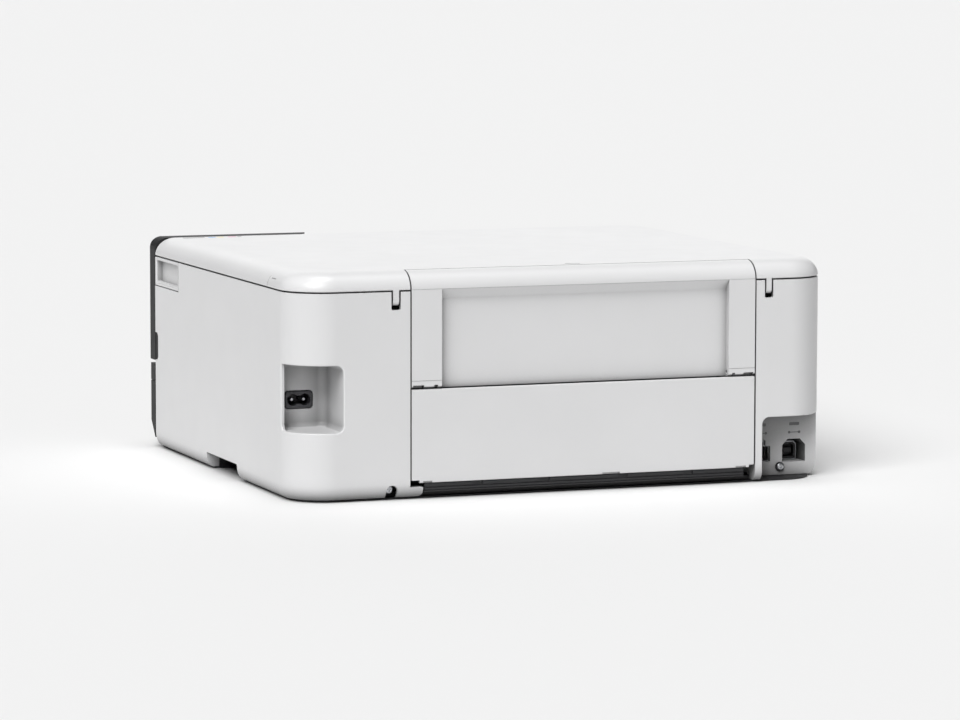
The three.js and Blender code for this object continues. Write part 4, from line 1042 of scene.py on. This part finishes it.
# ---- black front
UPPER_FRONT_BOTTOM = 61
CREST_R = 9  # the raised strip's upper corner
PANEL_AXIS_Y = -156.5
PANEL_AXIS_Z = 128.4
PANEL_FACE = -161
PANEL_BOTTOM = 66
PANEL_BACK = -150.2
PANEL_X = 171.4
BUTTON_Z = 98
BUTTONS = {"power_button": -148, "stop_button": 120}
SCREEN = (-62, 62, 76, 118)


def front_plan():
    return body_stack([(0, 0), (0, HEIGHT)], 3)


def front_end(x0, x1, top):
    bevel = 3.2
    low = UPPER_FRONT_BOTTOM
    profile = [(FRONT, low + bevel), (FRONT + bevel, low), (BEZEL_BACK, low), (BEZEL_BACK, top), (FRONT, top)]
    return common(prism("X", profile, x0, x1), front_plan())


def front_frame():
    bezel = front_end(172, SIDE, HEIGHT)
    outline = [(BEZEL_TIP_X, FRONT), (SIDE - 3, FRONT), (SIDE - 3, BEZEL_BACK)]
    outline += [(BEZEL_STEP_X, BEZEL_BACK), (BEZEL_TIP_X, FRONT + 1)]
    strip = prism("Z", outline, LID_BOTTOM, HEIGHT)
    back_plate = box(-180, 180, -149.6, BEZEL_BACK, 64, SHELL_TOP)
    strip_foot = box(BEZEL_STEP_X + 2, 174, -149.6, BEZEL_BACK, SHELL_TOP - 1, LID_BOTTOM + 1)
    legs = [box(x0, x0 + 26, -148.9, -143, 4.4, 66) for x0 in (-174, 148)]
    filler = box(180, SIDE - 0.4, -148, -142.9, 62.2, 80.2)
    join(bezel, front_end(-SIDE, -172, SHELL_TOP), strip, back_plate, strip_foot, *legs, filler)
    cut(bezel, box(-40, 0, -160, -140, 90, 110))
    crest = [(-FAR, -10), (SIDE, -10)] + arc(SIDE - CREST_R, HEIGHT - CREST_R, CREST_R, 0, 90, 16)
    common(bezel, prism("Y", crest + [(-FAR, HEIGHT)], -FAR, FAR))
    finish(bezel, "front_bezel", "base", "black_front", ["front_frame"], 0.6)


def control_panel():
    radius = 4.5
    profile = [(PANEL_BACK, PANEL_BOTTOM), (PANEL_BACK, PANEL_AXIS_Z)]
    profile += arc(PANEL_AXIS_Y, PANEL_AXIS_Z, radius, 90, 180, 12)
    profile += [(PANEL_FACE, PANEL_BOTTOM + 2), (PANEL_FACE + 0.6, PANEL_BOTTOM + 0.6)]
    profile.append((PANEL_FACE + 2, PANEL_BOTTOM))
    shell = prism("X", profile, -PANEL_X, PANEL_X)
    hollow = box(-PANEL_X + WALL, PANEL_X - WALL, PANEL_FACE + 4.6, 0, PANEL_BOTTOM + WALL, 125)
    x0, x1, z0, z1 = SCREEN
    seat = prism("Y", rounded_rect(x0, x1, z0, z1, (2, 2, 2, 2)), -170, PANEL_FACE + 2)
    holes = [rod("Y", x, BUTTON_Z, 5.4, -170, -140) for x in BUTTONS.values()]
    dishes = [rod("Y", x, BUTTON_Z, 7, -170, PANEL_FACE + 0.35) for x in BUTTONS.values()]
    cut(shell, hollow, seat, *holes, *dishes)
    finish(shell, "panel_shell", "control_panel", "black_front", ["control_panel"], 0.3)
    screen = rounded_box(x0 + 0.4, x1 - 0.4, -161.2, -159.4, z0 + 0.4, z1 - 0.4, 1.8, axis="Y", edge=0.25)
    finish(screen, "screen_pane", "control_panel", "screen", ["touch_screen"])
    looks = ("label_blue", "label_grey", "label_pink", "label_yellow")
    for i, look in enumerate(looks):
        start = -50 + 26.5 * i
        tile = rounded_box(start, start + 20.5, -161.23, -161.1, 86, 106.5, 3, axis="Y", edge=0.03)
        finish(tile, f"screen_tile_{i + 1}", "control_panel", "screen", look=look)


def buttons():
    """The power button carries a broken ring and the stop button a plain square, both sunk a little."""
    for node, x in BUTTONS.items():
        button = rod("Y", x, BUTTON_Z, 5, FRONT + 0.1, PANEL_FACE + 4.4, 0.6)
        if node == "power_button":
            mark = cut(rod("Y", x, BUTTON_Z, 2.4, -170, -161.7), rod("Y", x, BUTTON_Z, 1.9, -171, -160))
            cut(mark, box(x - 0.8, x + 0.8, -171, -160, BUTTON_Z + 1, BUTTON_Z + 4))
            join(mark, box(x - 0.25, x + 0.25, -170, -161.7, BUTTON_Z + 0.6, BUTTON_Z + 2.8))
        else:
            mark = box(x - 1.6, x + 1.6, -170, -161.7, BUTTON_Z - 1.6, BUTTON_Z + 1.6)
        cut(button, mark)
        finish(button, f"{node}_cap", node, "grey_inner", [node], 0.1)


# ---- paper trays
LIP_BACK = -149.6


def face_plan(low, high):
    return body_stack([(0.3, low), (0.3, high)], 3)


def output_tray():
    lip = common(box(-SIDE, SIDE, FRONT, LIP_BACK, 46.6, 58.2), face_plan(40, 60))
    chamfer = prism("X", [(FRONT - 1, 56), (FRONT + 2.2, 59.2), (FRONT - 1, 59.2)], -FAR, FAR)
    plate = box(-118, 118, -151, -30, 51.2, 53.4)
    runners = [box(x, x + 2, -151, -30, 48, 56) for x in (-118, 116)]
    join(lip, plate, *runners)
    cut(lip, chamfer, box(-112, 112, -170, -140, 53.4, 70), box(-58, 58, -170, -140, 46, 50.8))
    cut(lip, *[box(x, x + 9, -146, -36, 53.0, 60) for x in range(-106, 100, 13)])
    finish(lip, "output_lip", "output_tray", "black_front", ["output_tray"], 0.3)


def output_extension():
    blade = box(-56, 56, -152, -52, 48.4, 50.2)
    join(blade, box(-57, 57, FRONT + 0.3, -151, 47, 50.4))
    dip = rod("Z", 0, -166, 12, 40, 60, steps=48)
    cut(blade, dip, *[box(x, x + 14, -140, -60, 49.9, 60) for x in (-48, -28, 14, 34)])
    finish(blade, "extension_blade", "output_tray_extension", "black_front", ["output_tray_extension"], 0.3)


def paper_cassette():
    profile = [(FRONT, 21.5), (-149.8, 6.9), (LIP_BACK, 6.9), (LIP_BACK, 46), (FRONT, 46)]
    face = common(prism("X", profile, -SIDE, SIDE), face_plan(0, 50))
    tub = box(-118, 118, -151, 148.4, 8, 40)
    cut(tub, box(-118 + WALL, 118 - WALL, -148.8, 146, 8 + WALL, 60))
    join(face, tub)
    grip = flare("Y", -45, 45, 26, 38, (4, 4, 4, 4), FRONT, -154, 1.2)
    hollows = [box(x, x + 90, -156, -140, 26, 42) for x in (-150, 60)]
    slots = [box(x, x + 30, 18, 22, 0, 12) for x in (28, 88, -58, -118)]
    grooves = [box(x, x + 5, -140, 110, 10.1, 12) for x in range(-80, 80, 20)]
    cut(face, grip, *hollows, *slots, *grooves)
    finish(face, "cassette_body", "paper_cassette", "black_front", ["paper_cassette"], 0.3)


def paper_guides():
    floor_z = 10.9
    for hand, side in (("right", 1), ("left", -1)):
        node = f"paper_guide_{hand}"
        x = side * 109
        low, high = sorted((x, x - side * 24))
        guide = rounded_box(low, high, 10, 34, floor_z, floor_z + 2, 1.5, edge=0.4)
        join(guide, rounded_box(x - 1, x + 1, -40, 60, floor_z, 32, 0.8, edge=0.4))
        cut(guide, *[box(low - 1, high + 1, y, y + 1.2, floor_z + 1.6, 20) for y in (14, 18, 22, 26)])
        finish(guide, f"guide_{hand}", node, "grey_inner", [node], 0.1)
    stop = rounded_box(-10, 10, 118, 142, floor_z, floor_z + 2, 1.5, edge=0.4)
    join(stop, rounded_box(-16, 16, 140, 142.4, floor_z, 30, 0.8, edge=0.4))
    cut(stop, *[box(-7, 7, y, y + 1.2, floor_z + 1.6, 20) for y in (122, 126, 130, 134)])
    finish(stop, "length_guide", "paper_length_guide", "grey_inner", ["paper_length_guide"], 0.1)


# ---- run
document_cover()
document_pad()
colour_marks()
right_side_cover()
left_side_cover()
paper_support()
rear_cover()
rear_paper_guide()
seam_gap_shade_strips()
socket_marks()
power_inlet()
usb_socket()
network_socket()
pan_screw("ports_screw", "port_screw", SCREW_X, PORT_Y + 2.2, SCREW_Z, 2.6)
pan_screw("cover_screw", "shell_screw", 120, 156, 6.6, 2.9)
base_chassis()
rubber_feet()
waste_ink_absorber()
print_carriage()
ink_tanks()
scanner_housing()
scanner_top()
scan_bar()
front_frame()
control_panel()
buttons()
output_tray()
output_extension()
paper_cassette()
paper_guides()

slots = {entry["node"]: entry["material_slot"] for entry in frame["record"]["subparts"]}
for node_name, thing in frame["nodes"].items():
    if thing.hide_render:
        continue
    thing.data.materials.clear()
    thing.data.materials.append(MATERIALS[slots[node_name]])
    weld = thing.modifiers.new("weld", "WELD")
    weld.merge_threshold = 0.00001
    soften(thing, 0.2)
    smooth(thing.data)


# ---- floor, light and camera
def floor():
    half = 40.0
    data = bpy.data.meshes.new("floor")
    corners = [(-half, -half, 0), (half, -half, 0), (half, half, 0), (-half, half, 0)]
    data.from_pydata(corners, [], [(0, 1, 2, 3)])
    made = place("floor", data)
    paper, _, shader = new_material("studio_floor", (0.81, 0.81, 0.81), 0.8)
    shader.inputs["Specular IOR Level"].default_value = 0.1
    data.materials.append(paper)


def soft_light(name, azimuth, elevation, spread_angle, strength):
    """A far, wide soft light in that direction (azimuth from +X towards +Y), even over the whole floor."""
    light = bpy.data.lights.new(name, "SUN")
    light.angle = math.radians(spread_angle)
    light.energy = strength
    around, up = math.radians(azimuth), math.radians(elevation)
    towards = Vector((math.cos(up) * math.cos(around), math.cos(up) * math.sin(around), math.sin(up)))
    place(name, light).rotation_euler = towards.to_track_quat("Z", "Y").to_euler()


def world_light(level):
    """Faint white light from all round."""
    world = bpy.data.worlds.new("studio")
    world.use_nodes = True
    bpy.context.scene.world = world
    background = world.node_tree.nodes["Background"]
    background.inputs["Color"].default_value = (1, 1, 1, 1)
    background.inputs["Strength"].default_value = level


def camera():
    data = bpy.data.cameras.new("camera")
    data.lens = 164.5
    data.sensor_width = 36
    data.clip_end = 200
    made = place("camera", data)
    made.location = (1.0310, 2.7695, 0.3874)
    forward = Vector((-0.34676, -0.93183, -0.10703))
    turn = forward.to_track_quat("-Z", "Y").to_matrix().to_4x4()
    made.rotation_euler = turn.to_euler()
    made.rotation_euler.rotate_axis("Z", math.radians(0.088))
    bpy.context.scene.camera = made


floor()
world_light(0.02)
soft_light("overhead", 0, 90, 30, 1.35)
soft_light("key", 47, 46, 40, 2.75)
soft_light("front", -110, 15, 40, 0.42)
camera()
bpy.context.scene.view_settings.view_transform = "Standard"
